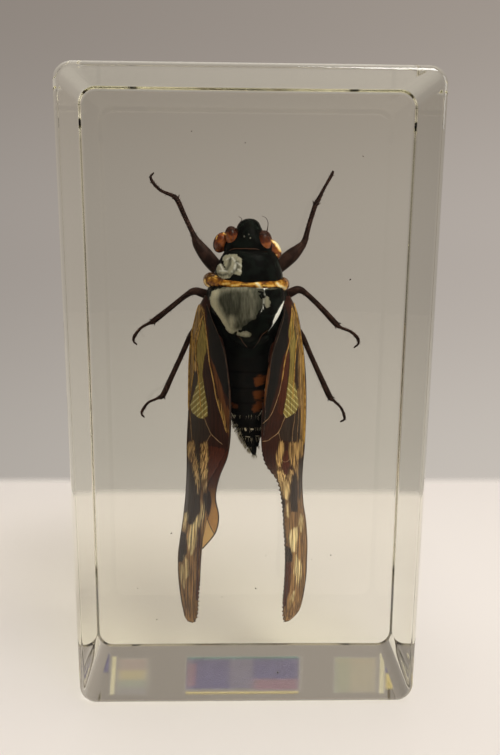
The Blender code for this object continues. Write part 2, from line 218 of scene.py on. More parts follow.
def all_marks(outlines: Iterable[Outline | Stroke], points: np.ndarray, reach: float = 1.0) -> np.ndarray:
    """The field of several outlines and strokes together."""
    value = np.zeros(points.shape[:-1])
    for outline in outlines:
        value = np.maximum(value, outline.field(points, reach))
    return value


def in_scene(name: str, mesh: bpy.types.Mesh, finish: Material) -> Piece:
    """Gives a mesh its finish and puts it in the scene."""
    mesh.materials.append(finish)
    piece = bpy.data.objects.new(name, mesh)
    bpy.context.scene.collection.objects.link(piece)
    return piece


def mesh_object(
    name: str, vertices: np.ndarray, faces: list, finish: Material
) -> Piece:
    """An object from points in millimetres and faces.

    Args:
        name: The piece's name.
        vertices: One row of x, y, z for each vertex.
        faces: Lists of vertex numbers.
        finish: The piece's material.

    Returns:
        The new object, shaded smooth, with its faces pointing out.
    """
    mesh = bpy.data.meshes.new(name)
    mesh.from_pydata((vertices * MM).tolist(), [], faces)
    shape = bmesh.new()
    shape.from_mesh(mesh)
    bmesh.ops.recalc_face_normals(shape, faces=shape.faces)
    shape.to_mesh(mesh)
    shape.free()
    mesh.shade_smooth()
    return in_scene(name, mesh, finish)


def eased(path: np.ndarray) -> np.ndarray:
    """A path with its small steps evened out."""
    for _ in range(3):
        path[1:-1] = (path[:-2] + 2 * path[1:-1] + path[2:]) / 4
    return path


def laid_line(points: np.ndarray, pixels: Sequence[Point], radius: float) -> np.ndarray:
    """A thin line that lies on a body's front where the photograph shows it.

    Args:
        points: The body's vertices in millimetres.
        pixels: The line's points in the photograph.
        radius: The line's radius in millimetres.

    Returns:
        Rows of x, y, z and radius.
    """
    x, z = SIGHT.slide(points)
    rows = []
    for place in smooth([SIGHT.to_plane(*pixel) for pixel in pixels], len(pixels) * 5):
        distance = np.hypot(x - place[0], z - place[1])
        near = distance < max(distance.min() * 1.5, 0.3)
        foremost = points[near][np.argmin(points[near][:, 1])]
        rows.append(foremost)
    path = eased(np.array(rows))
    path[:, 1] -= radius * 0.4
    return np.column_stack([path, np.full(len(path), radius)])


def paint(piece: Piece, values: dict[str, np.ndarray]) -> None:
    """Writes mask values on a piece's vertices, for its material to read."""
    for name, value in values.items():
        layer = piece.data.attributes.new(name, "FLOAT", "POINT")
        layer.data.foreach_set("value", np.ascontiguousarray(value, dtype=np.float32).ravel())


def skin_faces(rows: int, columns: int, offset: int = 0, wrap: bool = False) -> list:
    """The four-sided faces of a grid of vertices, row by row."""
    faces = []
    for row in range(rows - 1):
        for column in range(columns if wrap else columns - 1):
            following = (column + 1) % columns
            start = offset + row * columns
            below = start + columns
            faces.append((start + column, start + following, below + following, below + column))
    return faces


def closed_skin(name: str, rings: np.ndarray, finish: Material) -> Piece:
    """A closed skin over rings of points, with a pole at each end.

    Args:
        name: The piece's name.
        rings: An array of rings, points in a ring, and x, y, z.
        finish: The piece's material.

    Returns:
        The new object. Its vertices are the rings' points and then the two poles.
    """
    count, around = rings.shape[:2]
    poles = np.array([rings[0].mean(axis=0), rings[-1].mean(axis=0)])
    vertices = np.vstack([rings.reshape(-1, 3), poles])
    faces = skin_faces(count, around, wrap=True)
    first_pole = count * around
    for column in range(around):
        following = (column + 1) % around
        faces.append((first_pole, following, column))
        start = (count - 1) * around
        faces.append((first_pole + 1, start + column, start + following))
    return mesh_object(name, vertices, faces, finish)


def closed_sheet(name: str, grid: np.ndarray, thickness: float, finish: Material) -> tuple:
    """A thin closed sheet over a grid of points.

    Args:
        name: The piece's name.
        grid: Rows and columns of x, y, z.
        thickness: The sheet's thickness in millimetres.
        finish: The piece's material.

    Returns:
        The object and its vertices: first those of one face, then those of the other.
    """
    rows, columns = grid.shape[:2]
    normal = np.cross(np.gradient(grid, axis=0), np.gradient(grid, axis=1))
    normal /= np.linalg.norm(normal, axis=-1)[..., None]
    half = 0.5 * thickness * normal
    vertices = np.vstack([(grid + half).reshape(-1, 3), (grid - half).reshape(-1, 3)])
    count = rows * columns
    faces = skin_faces(rows, columns) + skin_faces(rows, columns, count)
    rim = [row * columns for row in range(rows)]
    rim += [(rows - 1) * columns + column for column in range(1, columns)]
    rim += [row * columns + columns - 1 for row in range(rows - 2, -1, -1)]
    rim += list(range(columns - 2, 0, -1))
    for start, end in zip(rim, rim[1:] + rim[:1]):
        faces.append((start, end, count + end, count + start))
    return mesh_object(name, vertices, faces, finish), vertices


def rings_of(sections: np.ndarray, around: int, squareness: float = 2.0) -> np.ndarray:
    """Rings across a body that runs along Z.

    Args:
        sections: Rows of z, x, y, half width and half depth.
        around: How many points a ring has.
        squareness: 2 gives ellipses, and more gives squarer rings.

    Returns:
        An array of rings.
    """
    angle = np.linspace(0, 2 * math.pi, around, endpoint=False)
    across = np.sign(np.cos(angle)) * np.abs(np.cos(angle)) ** (2 / squareness)
    along = np.sign(np.sin(angle)) * np.abs(np.sin(angle)) ** (2 / squareness)
    z, x, y, half_width, half_depth = (sections[:, index, None] for index in range(5))
    flat = np.ones_like(angle)[None, :]
    return np.stack([x + half_width * across, y + half_depth * along, z * flat], axis=-1)


def ball(
    name: str, centre: Point, radii: Point, finish: Material, lean: float = 0.0, detail: int = 32
) -> Piece:
    """A stretched ball.

    Args:
        name: The piece's name.
        centre: The centre in millimetres.
        radii: The three radii in millimetres.
        finish: The piece's material.
        lean: Degrees that the ball turns about the line of sight.
        detail: How many faces go around it.

    Returns:
        The new object.
    """
    shape = bmesh.new()
    place = (
        Matrix.Translation(Vector(centre) * MM)
        @ Matrix.Rotation(math.radians(lean), 4, "Y")
        @ Matrix.Diagonal((*(radius * MM for radius in radii), 1.0))
    )
    up = detail * 3 // 4
    bmesh.ops.create_uvsphere(shape, u_segments=detail, v_segments=up, radius=1.0, matrix=place)
    mesh = bpy.data.meshes.new(name)
    shape.to_mesh(mesh)
    shape.free()
    mesh.shade_smooth()
    return in_scene(name, mesh, finish)


def tube_parts(points: np.ndarray, sides: int, offset: int) -> tuple[np.ndarray, list]:
    """The vertices and faces of one closed tube.

    Args:
        points: Rows of x, y, z and radius.
        sides: How many sides the tube has.
        offset: The number of the tube's first vertex.

    Returns:
        The vertices and the faces.
    """
    centres, radii = points[:, :3], points[:, 3]
    tangents = np.gradient(centres, axis=0)
    tangents /= np.linalg.norm(tangents, axis=1)[:, None]
    side = np.cross(tangents[0], (0.0, 1.0, 0.1))
    side /= np.linalg.norm(side)
    rings = []
    angle = np.linspace(0, 2 * math.pi, sides, endpoint=False)
    for centre, tangent, radius in zip(centres, tangents, radii):
        side = side - tangent * side.dot(tangent)
        side /= np.linalg.norm(side)
        up = np.cross(tangent, side)
        rings.append(centre + radius * (np.outer(np.cos(angle), side) + np.outer(np.sin(angle), up)))
    vertices = np.vstack(rings)
    count = len(points)
    faces = skin_faces(count, sides, offset, wrap=True)
    faces.append(tuple(offset + column for column in range(sides)))
    faces.append(tuple(offset + (count - 1) * sides + column for column in range(sides)))
    return vertices, faces


def tubes(
    name: str, lines: Sequence[np.ndarray], finish: Material, sides: int = 12
) -> Piece:
    """One object of several closed tubes, each a row of x, y, z and radius for each point."""
    vertices, faces, offset = [], [], 0
    for line in lines:
        more, skin = tube_parts(line, sides, offset)
        vertices.append(more)
        faces.extend(skin)
        offset += len(more)
    return mesh_object(name, np.vstack(vertices), faces, finish)


# Materials


class Graph:
    """Adds nodes to a node tree and links them."""

    def __init__(self, tree: Tree) -> None:
        """Takes the tree to build in."""
        self.tree = tree

    def add(self, kind: str, inputs: dict | None = None, **settings: object) -> Node:
        """Adds a node.

        Args:
            kind: The node's type name.
            inputs: For each input's name or number, a value or a socket to link.
            settings: Properties of the node.

        Returns:
            The new node.
        """
        node = self.tree.nodes.new(kind)
        for name, value in settings.items():
            setattr(node, name, value)
        for key, value in (inputs or {}).items():
            if isinstance(value, Socket):
                self.tree.links.new(value, node.inputs[key])
            elif isinstance(value, tuple) and len(value) == 3 and node.inputs[key].type == "RGBA":
                node.inputs[key].default_value = (*value, 1.0)
            else:
                node.inputs[key].default_value = value
        return node

    def math(self, operation: str, first: object, second: object = 0.0) -> Socket:
        """A Math node's result."""
        return self.add("ShaderNodeMath", {0: first, 1: second}, operation=operation).outputs[0]

    def times(self, first: object, second: object) -> Socket:
        """The product of two values."""
        return self.math("MULTIPLY", first, second)

    def plus(self, first: object, second: object) -> Socket:
        """The sum of two values."""
        return self.math("ADD", first, second)

    def minus(self, first: object, second: object) -> Socket:
        """The first value less the second."""
        return self.math("SUBTRACT", first, second)

    def mix(self, factor: object, first: object, second: object) -> Socket:
        """A blend of two colours."""
        node = self.add("ShaderNodeMix", {"Factor": factor}, data_type="RGBA")
        for socket, value in ((node.inputs[6], first), (node.inputs[7], second)):
            if isinstance(value, Socket):
                self.tree.links.new(value, socket)
            else:
                socket.default_value = (*value, 1.0)
        return node.outputs[2]

    def ramp(self, value: object, low: float, high: float) -> Socket:
        """A soft step of a value from 0 at low to 1 at high."""
        span = {"Value": value, "From Min": low, "From Max": high}
        return self.add("ShaderNodeMapRange", span, interpolation_type="SMOOTHSTEP").outputs["Result"]

    def layer(self, name: str) -> Socket:
        """A mask that was painted on the vertices."""
        return self.add("ShaderNodeAttribute", attribute_name=name).outputs["Fac"]

    def group(self, tree: Tree, inputs: dict) -> Node:
        """Places a node group with its own values."""
        return self.add("ShaderNodeGroup", inputs, node_tree=tree)

    def bump(self, shader: Node, height: object, strength: float, distance: float) -> None:
        """Feeds a shader's normal with a bump of a height, over a distance in metres."""
        relief = {"Height": height, "Strength": strength, "Distance": distance}
        self.tree.links.new(self.add("ShaderNodeBump", relief).outputs[0], shader.inputs["Normal"])

    def feed(self, shader: Node, **inputs: object) -> None:
        """Sets or links a shader's inputs, whose names have _ for a space."""
        for name, value in inputs.items():
            socket = shader.inputs[name.replace("_", " ")]
            if isinstance(value, Socket):
                self.tree.links.new(value, socket)
            else:
                socket.default_value = value


def new_group(
    name: str, inputs: dict[str, float], outputs: Sequence[str]
) -> tuple[Tree, Graph]:
    """A shader node group with number sockets.

    Args:
        name: The group's name.
        inputs: Each input's name and its usual value.
        outputs: The outputs' names.

    Returns:
        The group and a graph to build in it.
    """
    tree = bpy.data.node_groups.new(name, "ShaderNodeTree")
    number = "NodeSocketFloat"
    for label, value in inputs.items():
        tree.interface.new_socket(name=label, in_out="INPUT", socket_type=number).default_value = value
    for label in outputs:
        tree.interface.new_socket(name=label, in_out="OUTPUT", socket_type=number)
    return tree, Graph(tree)


class Effects:
    """The surface effects that several finishes share, each a node group."""

    def __init__(self) -> None:
        """Builds the groups once."""
        self.streaks = self._streaks()
        self.ragged = self._ragged()
        self.grain = self._grain()

    @staticmethod
    def _stretched_noise(
        graph: Graph, across: object, along: object, detail: float
    ) -> Socket:
        """Noise in the piece's own space whose grain may run along Z."""
        place = graph.add("ShaderNodeTexCoord").outputs["Object"]
        scale = graph.add("ShaderNodeCombineXYZ", {"X": across, "Y": across, "Z": along}).outputs[0]
        stretched = graph.add("ShaderNodeVectorMath", {0: place, 1: scale}, operation="MULTIPLY").outputs[0]
        noise = graph.add("ShaderNodeTexNoise", {"Vector": stretched, "Scale": 1.0, "Detail": detail})
        return noise.outputs["Fac"]

    def streak_tone(
        self, graph: Graph, across: float, along: float, contrast: float
    ) -> Socket:
        """The tone of streaks of a density across and along, placed in a material."""
        values = {"Across": across, "Along": along, "Contrast": contrast}
        return graph.group(self.streaks, values).outputs["Tone"]

    def ragged_mask(
        self,
        graph: Graph,
        layer: str,
        across: float,
        along: float,
        raggedness: float,
        softness: float = 0.08,
    ) -> Socket:
        """The mask of a painted layer with a ragged edge, placed in a material.

        Args:
            graph: The material's graph.
            layer: The painted layer's name.
            across: How dense the rag is across the piece.
            along: How dense it is along Z.
            raggedness: How far it moves the edge.
            softness: Half the width of the edge, as a share of the field.

        Returns:
            The mask.
        """
        values = {"Field": graph.layer(layer), "Across": across, "Along": along}
        values |= {"Raggedness": raggedness, "Softness": softness}
        return graph.group(self.ragged, values).outputs["Mask"]

    def _streaks(self) -> Tree:
        """Light and dark streaks, from 0 to 1."""
        tree, graph = new_group("streaks", {"Across": 2500.0, "Along": 250.0, "Contrast": 1.0}, ["Tone"])
        given = graph.add("NodeGroupInput").outputs
        noise = self._stretched_noise(graph, given["Across"], given["Along"], 3.0)
        centred = graph.minus(noise, 0.5)
        wide = graph.times(centred, graph.times(given["Contrast"], 3.0))
        tone = graph.add("ShaderNodeClamp", {"Value": graph.plus(wide, 0.5)}).outputs[0]
        graph.add("NodeGroupOutput", {"Tone": tone})
        return tree

    def _ragged(self) -> Tree:
        """A mask with a ragged edge where its field crosses one half."""
        tree, graph = new_group(
            "ragged_edge",
            {"Field": 0.0, "Across": 2000.0, "Along": 600.0, "Raggedness": 0.4, "Softness": 0.08},
            ["Mask"],
        )
        given = graph.add("NodeGroupInput").outputs
        noise = self._stretched_noise(graph, given["Across"], given["Along"], 4.0)
        shift = graph.times(graph.minus(noise, 0.5), given["Raggedness"])
        value = graph.plus(given["Field"], shift)
        low = graph.minus(0.5, given["Softness"])
        high = graph.plus(0.5, given["Softness"])
        graph.add("NodeGroupOutput", {"Mask": graph.ramp(value, low, high)})
        return tree

    def _grain(self) -> Tree:
        """Fine pits and bumps, as a height and as a tone."""
        tree, graph = new_group("fine_grain", {"Scale": 3000.0, "Coarse Scale": 500.0}, ["Height", "Tone"])
        given = graph.add("NodeGroupInput").outputs
        fine = self._stretched_noise(graph, given["Scale"], given["Scale"], 3.0)
        coarse = self._stretched_noise(graph, given["Coarse Scale"], given["Coarse Scale"], 2.0)
        height = graph.plus(graph.times(fine, 0.5), graph.times(coarse, 0.5))
        graph.add("NodeGroupOutput", {"Height": height, "Tone": coarse})
        return tree


UNLIT: Colour = (0.0, 0.0, 0.0)


def new_material(name: str) -> tuple[Material, Graph, Node]:
    """A material with an empty tree, its graph and its Principled shader."""
    material = bpy.data.materials.new(name)
    material.use_nodes = True
    material.node_tree.nodes.clear()
    graph = Graph(material.node_tree)
    shader = graph.add("ShaderNodeBsdfPrincipled")
    graph.add("ShaderNodeOutputMaterial", {"Surface": shader.outputs[0]})
    return material, graph, shader


@dataclass(frozen=True)
class ResinFinish:
    """Clear cast resin, very faintly yellow-green, which lets the lamps' light through to the insect."""

    name: str = "clear_resin"
    index: float = 1.52
    tint: Colour = (0.935, 0.928, 0.87)
    density: float = 42.0
    shade: Colour = (0.87, 0.87, 0.855)

    def make(self) -> Material:
        """Builds the material."""
        material = bpy.data.materials.new(self.name)
        material.use_nodes = True
        material.node_tree.nodes.clear()
        graph = Graph(material.node_tree)
        shader = graph.add(
            "ShaderNodeBsdfPrincipled",
            {
                "Base Color": (1.0, 1.0, 1.0),
                "Roughness": 0.0,
                "Metallic": 0.0,
                "IOR": self.index,
                "Transmission Weight": 1.0,
            },
        )
        lamp_side = graph.add("ShaderNodeBsdfTransparent", {"Color": self.shade})
        rays = graph.add("ShaderNodeLightPath")
        both = graph.add(
            "ShaderNodeMixShader",
            {"Fac": rays.outputs["Is Shadow Ray"], 1: shader.outputs[0], 2: lamp_side.outputs[0]},
        )
        body = graph.add("ShaderNodeVolumeAbsorption", {"Color": self.tint, "Density": self.density})
        graph.add("ShaderNodeOutputMaterial", {"Surface": both.outputs[0], "Volume": body.outputs[0]})
        return material


@dataclass(frozen=True)
class CuticleFinish:
    """Hard, glossy cuticle with a fine grain, silvery where air lies between it and the resin, the silver
    painted lighter and darker as painted reflection and shade, with painted highlights that also glow by
    emission.
    """

    name: str
    colour: Colour
    second: Colour
    roughness: float = 0.2
    index: float = 1.12
    bump: float = 0.004
    silvered: bool = False
    marked: bool = False
    mark_colour: Colour = from_screen(90, 48, 20)
    pale: Colour = from_screen(214, 204, 178)
    silver: Colour = from_screen(206, 202, 176)
    silver_shade: Colour = from_screen(44, 46, 38)
    # the colour of the painted highlights on the silver
    silver_highlight: Colour = (0.88, 0.88, 0.82)
    silver_metallic: float = 0.2
    silver_roughness: float = 0.2
    # painted highlights glow by emission in this colour and strength
    highlight_glow: Colour = (1.0, 1.0, 0.95)
    highlight_glow_strength: float = 0.22

    def make(self, effects: Effects) -> Material:
        """Builds the material from the shared effects."""
        material, graph, shader = new_material(self.name)
        grain = graph.group(effects.grain, {"Scale": 4200.0, "Coarse Scale": 700.0})
        colour = graph.mix(graph.ramp(grain.outputs["Tone"], 0.42, 0.62), self.colour, self.second)
        roughness = graph.plus(self.roughness, graph.times(grain.outputs["Height"], 0.06))
        if self.marked:
            mark = effects.ragged_mask(graph, "mark", 900.0, 2600.0, 0.9, 0.2)
            colour = graph.mix(mark, colour, self.mark_colour)
            colour = graph.mix(graph.ramp(graph.layer("pale"), 0.4, 0.7), colour, self.pale)
        if self.silvered:
            patch = effects.ragged_mask(graph, "silver", 1900.0, 1500.0, 0.45, 0.05)
            brushed = effects.streak_tone(graph, 2600.0, 420.0, 0.7)
            nap = graph.times(graph.minus(brushed, 0.5), 0.2)
            # painted light: the painted layer lightens the foil as painted reflection, and darkens it in
            # creases as painted shade
            tone = graph.plus(graph.layer("glow"), nap)
            foil = graph.mix(graph.ramp(tone, -0.1, 1.0), self.silver_shade, self.silver)
            # painted highlight: near white where its layer says, and glowing there by emission
            foil = graph.mix(graph.layer("bright"), foil, self.silver_highlight)
            colour = graph.mix(patch, colour, foil)
            glowing_highlight = graph.times(graph.layer("bright"), patch)
            graph.feed(
                shader,
                Emission_Color=graph.mix(glowing_highlight, UNLIT, self.highlight_glow),
                Emission_Strength=self.highlight_glow_strength,
                Metallic=graph.times(patch, self.silver_metallic),
            )
            roughness = graph.plus(roughness, graph.times(patch, self.silver_roughness))
        graph.bump(shader, grain.outputs["Height"], self.bump, 0.0002)
        graph.feed(shader, Base_Color=colour, Roughness=roughness, IOR=self.index)
        return material


@dataclass(frozen=True)
class AmberFinish:
    """Clear golden to brown cuticle, with painted highlights, both random ones from a noise and ones along a
    painted layer, and painted shade where the layer edge says.
    """

    name: str
    dark: Colour
    light: Colour
    # colours of the painted highlights and of their near-white cores
    glint_colour: Colour
    glint_core: Colour = from_screen(255, 247, 208)
    glint_share: float = 0.68
    metallic: float = 0.25
    roughness: float = 0.18
    index: float = 1.45
    scale: float = 520.0

    def make(self, effects: Effects) -> Material:
        """Builds the material from the shared effects."""
        material, graph, shader = new_material(self.name)
        coarse = graph.group(effects.grain, {"Scale": self.scale * 3, "Coarse Scale": self.scale})
        colour = graph.mix(graph.ramp(coarse.outputs["Tone"], 0.38, 0.6), self.dark, self.light)
        # painted highlights: random glints where the noise runs high
        bright = graph.ramp(coarse.outputs["Tone"], self.glint_share, self.glint_share + 0.08)
        # painted shade: darker where the layer edge says, towards an eye's rim and the collar's top
        deep = tuple(value * 0.3 for value in self.dark)
        colour = graph.mix(graph.layer("edge"), colour, deep)
        # painted highlights along the painted glint layer, broken up by the noise, with near-white cores
        broken = graph.plus(0.4, graph.times(coarse.outputs["Height"], 1.2))
        shine = graph.times(graph.layer("glint"), broken)
        glint = graph.math("MAXIMUM", bright, graph.ramp(shine, 0.36, 0.7))
        colour = graph.mix(glint, colour, self.glint_colour)
        colour = graph.mix(graph.ramp(shine, 0.66, 0.98), colour, self.glint_core)
        graph.bump(shader, coarse.outputs["Height"], 0.2, 0.0002)
        graph.feed(shader, Base_Color=colour, Metallic=self.metallic)
        graph.feed(shader, Roughness=self.roughness, IOR=self.index)
        return material


@dataclass(frozen=True)
class WingFinish:
    """A dried wing: brown membrane with cream, olive, rust and black marks and a grain of streaks."""

    name: str
    upper: Colour = from_screen(48, 21, 12)
    lower: Colour = from_screen(96, 66, 40)
    lower_light: Colour = from_screen(162, 124, 78)
    tan: Colour = from_screen(184, 150, 96)
    tan_dark: Colour = from_screen(104, 72, 38)
    cream: Colour = from_screen(230, 212, 162)
    cream_dark: Colour = from_screen(172, 140, 90)
    olive: Colour = from_screen(138, 120, 62)
    olive_light: Colour = from_screen(206, 198, 138)
    rust: Colour = from_screen(98, 58, 27)
    red: Colour = from_screen(74, 32, 16)
    gilt: Colour = from_screen(184, 146, 84)
    gilt_dark: Colour = from_screen(62, 40, 22)
    dark: Colour = from_screen(46, 34, 27)
    black: Colour = from_screen(17, 15, 14)
    roughness: float = 0.42
    index: float = 1.2

    def make(self, effects: Effects) -> Material:
        """Builds the material from the shared effects."""
        material, graph, shader = new_material(self.name)
        streak = effects.streak_tone(graph, 3200.0, 130.0, 1.3)
        fine = effects.streak_tone(graph, 7000.0, 90.0, 1.2)
        both = graph.plus(graph.times(streak, 0.6), graph.times(fine, 0.4))
        lower = graph.mix(both, self.lower, self.lower_light)
        colour = graph.mix(graph.layer("lower"), self.upper, lower)
        for name, tone, raggedness in (
            ("red", self.red, 0.5),
            ("rust", self.rust, 0.45),
            ("dark", self.dark, 0.5),
            ("black", self.black, 0.3),
        ):
            colour = graph.mix(effects.ragged_mask(graph, name, 2600.0, 420.0, raggedness), colour, tone)
        olive = effects.ragged_mask(graph, "olive", 2000.0, 900.0, 0.2, 0.06)
        # the olive patch's real slanted ribs, painted lighter along them as painted highlights
        ribs = graph.ramp(graph.layer("ribs"), 0.5, 0.95)
        colour = graph.mix(olive, colour, graph.mix(ribs, self.olive, self.olive_light))
        lined = effects.streak_tone(graph, 3600.0, 60.0, 2.2)
        gilded = graph.ramp(graph.layer("gilt"), 0.35, 0.65)
        colour = graph.mix(gilded, colour, graph.mix(lined, self.gilt_dark, self.gilt))
        cream = effects.ragged_mask(graph, "cream", 3600.0, 260.0, 0.8, 0.16)
        grain = graph.ramp(streak, 0.1, 0.8)
        tan = graph.mix(grain, self.tan_dark, self.tan)
        pale = graph.mix(graph.layer("lower"), tan, graph.mix(grain, self.cream_dark, self.cream))
        colour = graph.mix(cream, colour, pale)
        edge = graph.times(graph.ramp(graph.layer("margin"), 0.2, 0.9), 0.7)
        colour = graph.mix(edge, colour, self.dark)
        tone = graph.plus(0.5, both)
        colour = graph.add("ShaderNodeVectorMath", {0: colour, "Scale": tone}, operation="SCALE").outputs[0]
        graph.bump(shader, both, 0.2, 0.00008)
        graph.feed(shader, Base_Color=colour, Roughness=self.roughness, IOR=self.index)
        return material


@dataclass(frozen=True)
class FlapFinish:
    """The thin hindwing, amber and clear enough to let light through, with dark edges; an emission paints
    the light that shines through its thin part.
    """

    name: str = "hindwing_membrane"
    deep: Colour = from_screen(88, 38, 18)
    amber: Colour = from_screen(186, 136, 70)
    pale: Colour = from_screen(208, 170, 108)
    dark: Colour = from_screen(58, 34, 22)
    clearness: float = 0.12
    painted_glow_strength: float = 0.22
    roughness: float = 0.35
    index: float = 1.36

    def make(self, effects: Effects) -> Material:
        """Builds the material from the shared effects."""
        material, graph, shader = new_material(self.name)
        streak = effects.streak_tone(graph, 900.0, 1500.0, 0.6)
        thin = graph.layer("thin")
        light = graph.mix(graph.times(streak, 0.3), self.amber, self.deep)
        light = graph.mix(graph.ramp(graph.layer("pale"), 0.4, 0.6), light, self.pale)
        colour = graph.mix(thin, self.deep, light)
        edge = graph.ramp(graph.layer("margin"), 0.45, 0.8)
        colour = graph.mix(edge, colour, self.dark)
        clear = graph.times(thin, graph.minus(1.0, edge))
        alpha = graph.minus(1.0, graph.times(clear, self.clearness))
        graph.feed(shader, Base_Color=colour, Alpha=alpha, Roughness=self.roughness, IOR=self.index)
        # painted light: the thin, clear part glows by emission in its own colour
        glow = graph.mix(clear, UNLIT, light)
        graph.feed(shader, Emission_Color=glow, Emission_Strength=self.painted_glow_strength)
        return material


@dataclass(frozen=True)
class PlainFinish:
    """A fine piece's finish: one colour with a second one mottled into it."""

    name: str
    colour: Colour
    second: Colour
    roughness: float
    index: float = 1.25

    def make(self, effects: Effects) -> Material:
        """Builds the material from the shared effects."""
        material, graph, shader = new_material(self.name)
        grain = graph.group(effects.grain, {"Scale": 4000.0, "Coarse Scale": 900.0})
        colour = graph.mix(graph.ramp(grain.outputs["Tone"], 0.4, 0.65), self.colour, self.second)
        graph.bump(shader, grain.outputs["Height"], 0.2, 0.0001)
        graph.feed(shader, Base_Color=colour, Roughness=self.roughness, IOR=self.index)
        return material


@dataclass(frozen=True)
class FilmFinish:
    """A painted rainbow sheen, whose bands show at a low angle."""

    name: str = "painted_rainbow_sheen"
    bands: tuple[tuple[str, Colour], ...] = (
        ("pale", from_screen(226, 220, 190)),
        ("rose", from_screen(196, 150, 150)),
        ("gold", from_screen(222, 204, 132)),
        ("green", from_screen(150, 176, 148)),
        ("violet", from_screen(102, 98, 142)),
        ("plum", from_screen(146, 108, 134)),
        ("teal", from_screen(96, 138, 142)),
    )
    ground: Colour = (0.5, 0.5, 0.5)
    strength: float = 0.5
    roughness: float = 0.5
    index: float = 1.3

    def make(self) -> Material:
        """Builds the material from one painted mask for each band of colour."""
        material, graph, shader = new_material(self.name)
        colour = self.ground
        cover = 0.0
        for band, tone in self.bands:
            mask = graph.layer(band)
            colour = graph.mix(graph.ramp(mask, 0.0, 0.5), colour, tone)
            cover = graph.math("MAXIMUM", mask, cover)
        facing = graph.add("ShaderNodeLayerWeight", {"Blend": 0.5}).outputs["Facing"]
        slant = graph.ramp(facing, 0.25, 0.6)
        alpha = graph.times(graph.times(cover, self.strength), slant)
        graph.feed(shader, Base_Color=colour, Alpha=alpha, Roughness=self.roughness, IOR=self.index)
        return material


class Palette:
    """Every finish of the piece, built once."""

    def __init__(self, effects: Effects) -> None:
        """Builds the materials from the shared effects."""
        black = from_screen(9, 10, 9)
        green_black = from_screen(15, 20, 17)
        self.resin = ResinFinish().make()
        self.black = CuticleFinish("black_cuticle", black, green_black).make(effects)
        self.silvered = CuticleFinish("silvered_cuticle", black, green_black, silvered=True).make(effects)
        self.abdomen = CuticleFinish(
            "abdomen_cuticle", black, from_screen(16, 14, 12), marked=True
        ).make(effects)
        self.leg = CuticleFinish(
            "leg_cuticle", from_screen(42, 29, 26), from_screen(58, 41, 36), roughness=0.36, bump=0.3
        ).make(effects)
        self.gold = AmberFinish(
            "golden_collar",
            from_screen(96, 52, 12),
            from_screen(186, 124, 38),
            from_screen(244, 194, 92),
            glint_share=0.64,
            metallic=0.45,
            scale=950.0,
        ).make(effects)
        self.eye = AmberFinish(
            "amber_eye",
            from_screen(84, 36, 15),
            from_screen(142, 76, 32),
            from_screen(240, 190, 96),
            glint_share=0.9,
            metallic=0.0,
            scale=650.0,
        ).make(effects)
        self.wing = WingFinish("forewing_membrane").make(effects)
        self.flap = FlapFinish().make(effects)
        self.gold_vein = self._plain(effects, "golden_vein", (190, 152, 84), (146, 108, 52), 0.3)
        self.tan_vein = self._plain(effects, "tan_vein", (160, 128, 92), (128, 98, 66))
        self.dark_vein = self._plain(effects, "dark_vein", (58, 44, 36), (84, 66, 52))
        self.hair = self._plain(effects, "pale_hair", (190, 180, 152), (110, 100, 82))
        self.ocellus = self._plain(effects, "ocellus_cuticle", (120, 118, 106), (90, 90, 84), 0.15)
        self.seam = self._plain(effects, "brown_seam", (84, 54, 34), (60, 38, 26))
        self.film = FilmFinish().make()
        self.dust = self._plain(effects, "dust_speck", (70, 60, 52), (104, 92, 78))

    @staticmethod
    def _plain(
        effects: Effects, name: str, colour: tuple, second: tuple, roughness: float = 0.4
    ) -> Material:
        """A plain finish from two colours as they look on a screen, 0 to 255."""
        return PlainFinish(name, from_screen(*colour), from_screen(*second), roughness).make(effects)


# The block


@dataclass
class ResinBlock:
    """The clear block, in one piece, which stands for both halves of the CAD model."""

    top_width: float = 63.0
    base_width: float = 61.0
    corner_radius: float = 3.2
    corner_steps: int = 20
    front_rim: float = 1.3
    back_rim: float = 0.6
    rim_steps: int = 4
    size: tuple[float, float, float] = field(init=False)

    def __post_init__(self) -> None:
        """Takes the block's depth and height from the frame."""
        low, high = CAD_BOUNDS
        self.size = (self.top_width * MM, high[1] - low[1], high[2] - low[2])

    def build(self, palette: Palette) -> Piece:
        """Makes the block and puts it in place of the two halves."""
        shape = bmesh.new()
        width, depth, height = self.size
        place = Matrix.Translation((0.0, 0.0, height / 2)) @ Matrix.Diagonal((width, depth, height, 1.0))
        bmesh.ops.create_cube(shape, size=1.0, matrix=place)
        through = [edge for edge in shape.edges if edge.verts[0].co.y * edge.verts[1].co.y < 0]
        self._round(shape, through, self.corner_radius, self.corner_steps)
        for face, rim in ((-depth / 2, self.front_rim), (depth / 2, self.back_rim)):
            around = [
                edge for edge in shape.edges if all(abs(vertex.co.y - face) < 1e-6 for vertex in edge.verts)
            ]
            self._round(shape, around, rim, self.rim_steps)
        for vertex in shape.verts:
            width_here = self.base_width + (self.top_width - self.base_width) * vertex.co.z / height
            vertex.co.x *= width_here / self.top_width
        mesh = bpy.data.meshes.new("resin_block")
        bmesh.ops.recalc_face_normals(shape, faces=shape.faces)
        shape.to_mesh(mesh)
        shape.free()
        self._shade(mesh)
        block = in_scene("resin_block", mesh, palette.resin)
        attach(block, BODY)
        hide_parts("resin_front", "resin_back")
        return block

    @staticmethod
    def _round(shape: bmesh.types.BMesh, edges: list, radius: float, steps: int) -> None:
        """Rounds edges to a radius in millimetres."""
        bmesh.ops.bevel(
            shape, geom=edges, offset=radius * MM, segments=steps, profile=0.5, affect="EDGES"
        )

    @staticmethod
    def _shade(mesh: bpy.types.Mesh) -> None:
        """Shades the rims round, and leaves the large faces flat up to their edges."""
        mesh.shade_smooth()
        normals = np.zeros((len(mesh.vertices), 3))
        for face in mesh.polygons:
            normals[list(face.vertices)] += np.array(face.normal) * face.area**2
        mesh.normals_split_custom_set_from_vertices(normals / np.linalg.norm(normals, axis=1)[:, None])


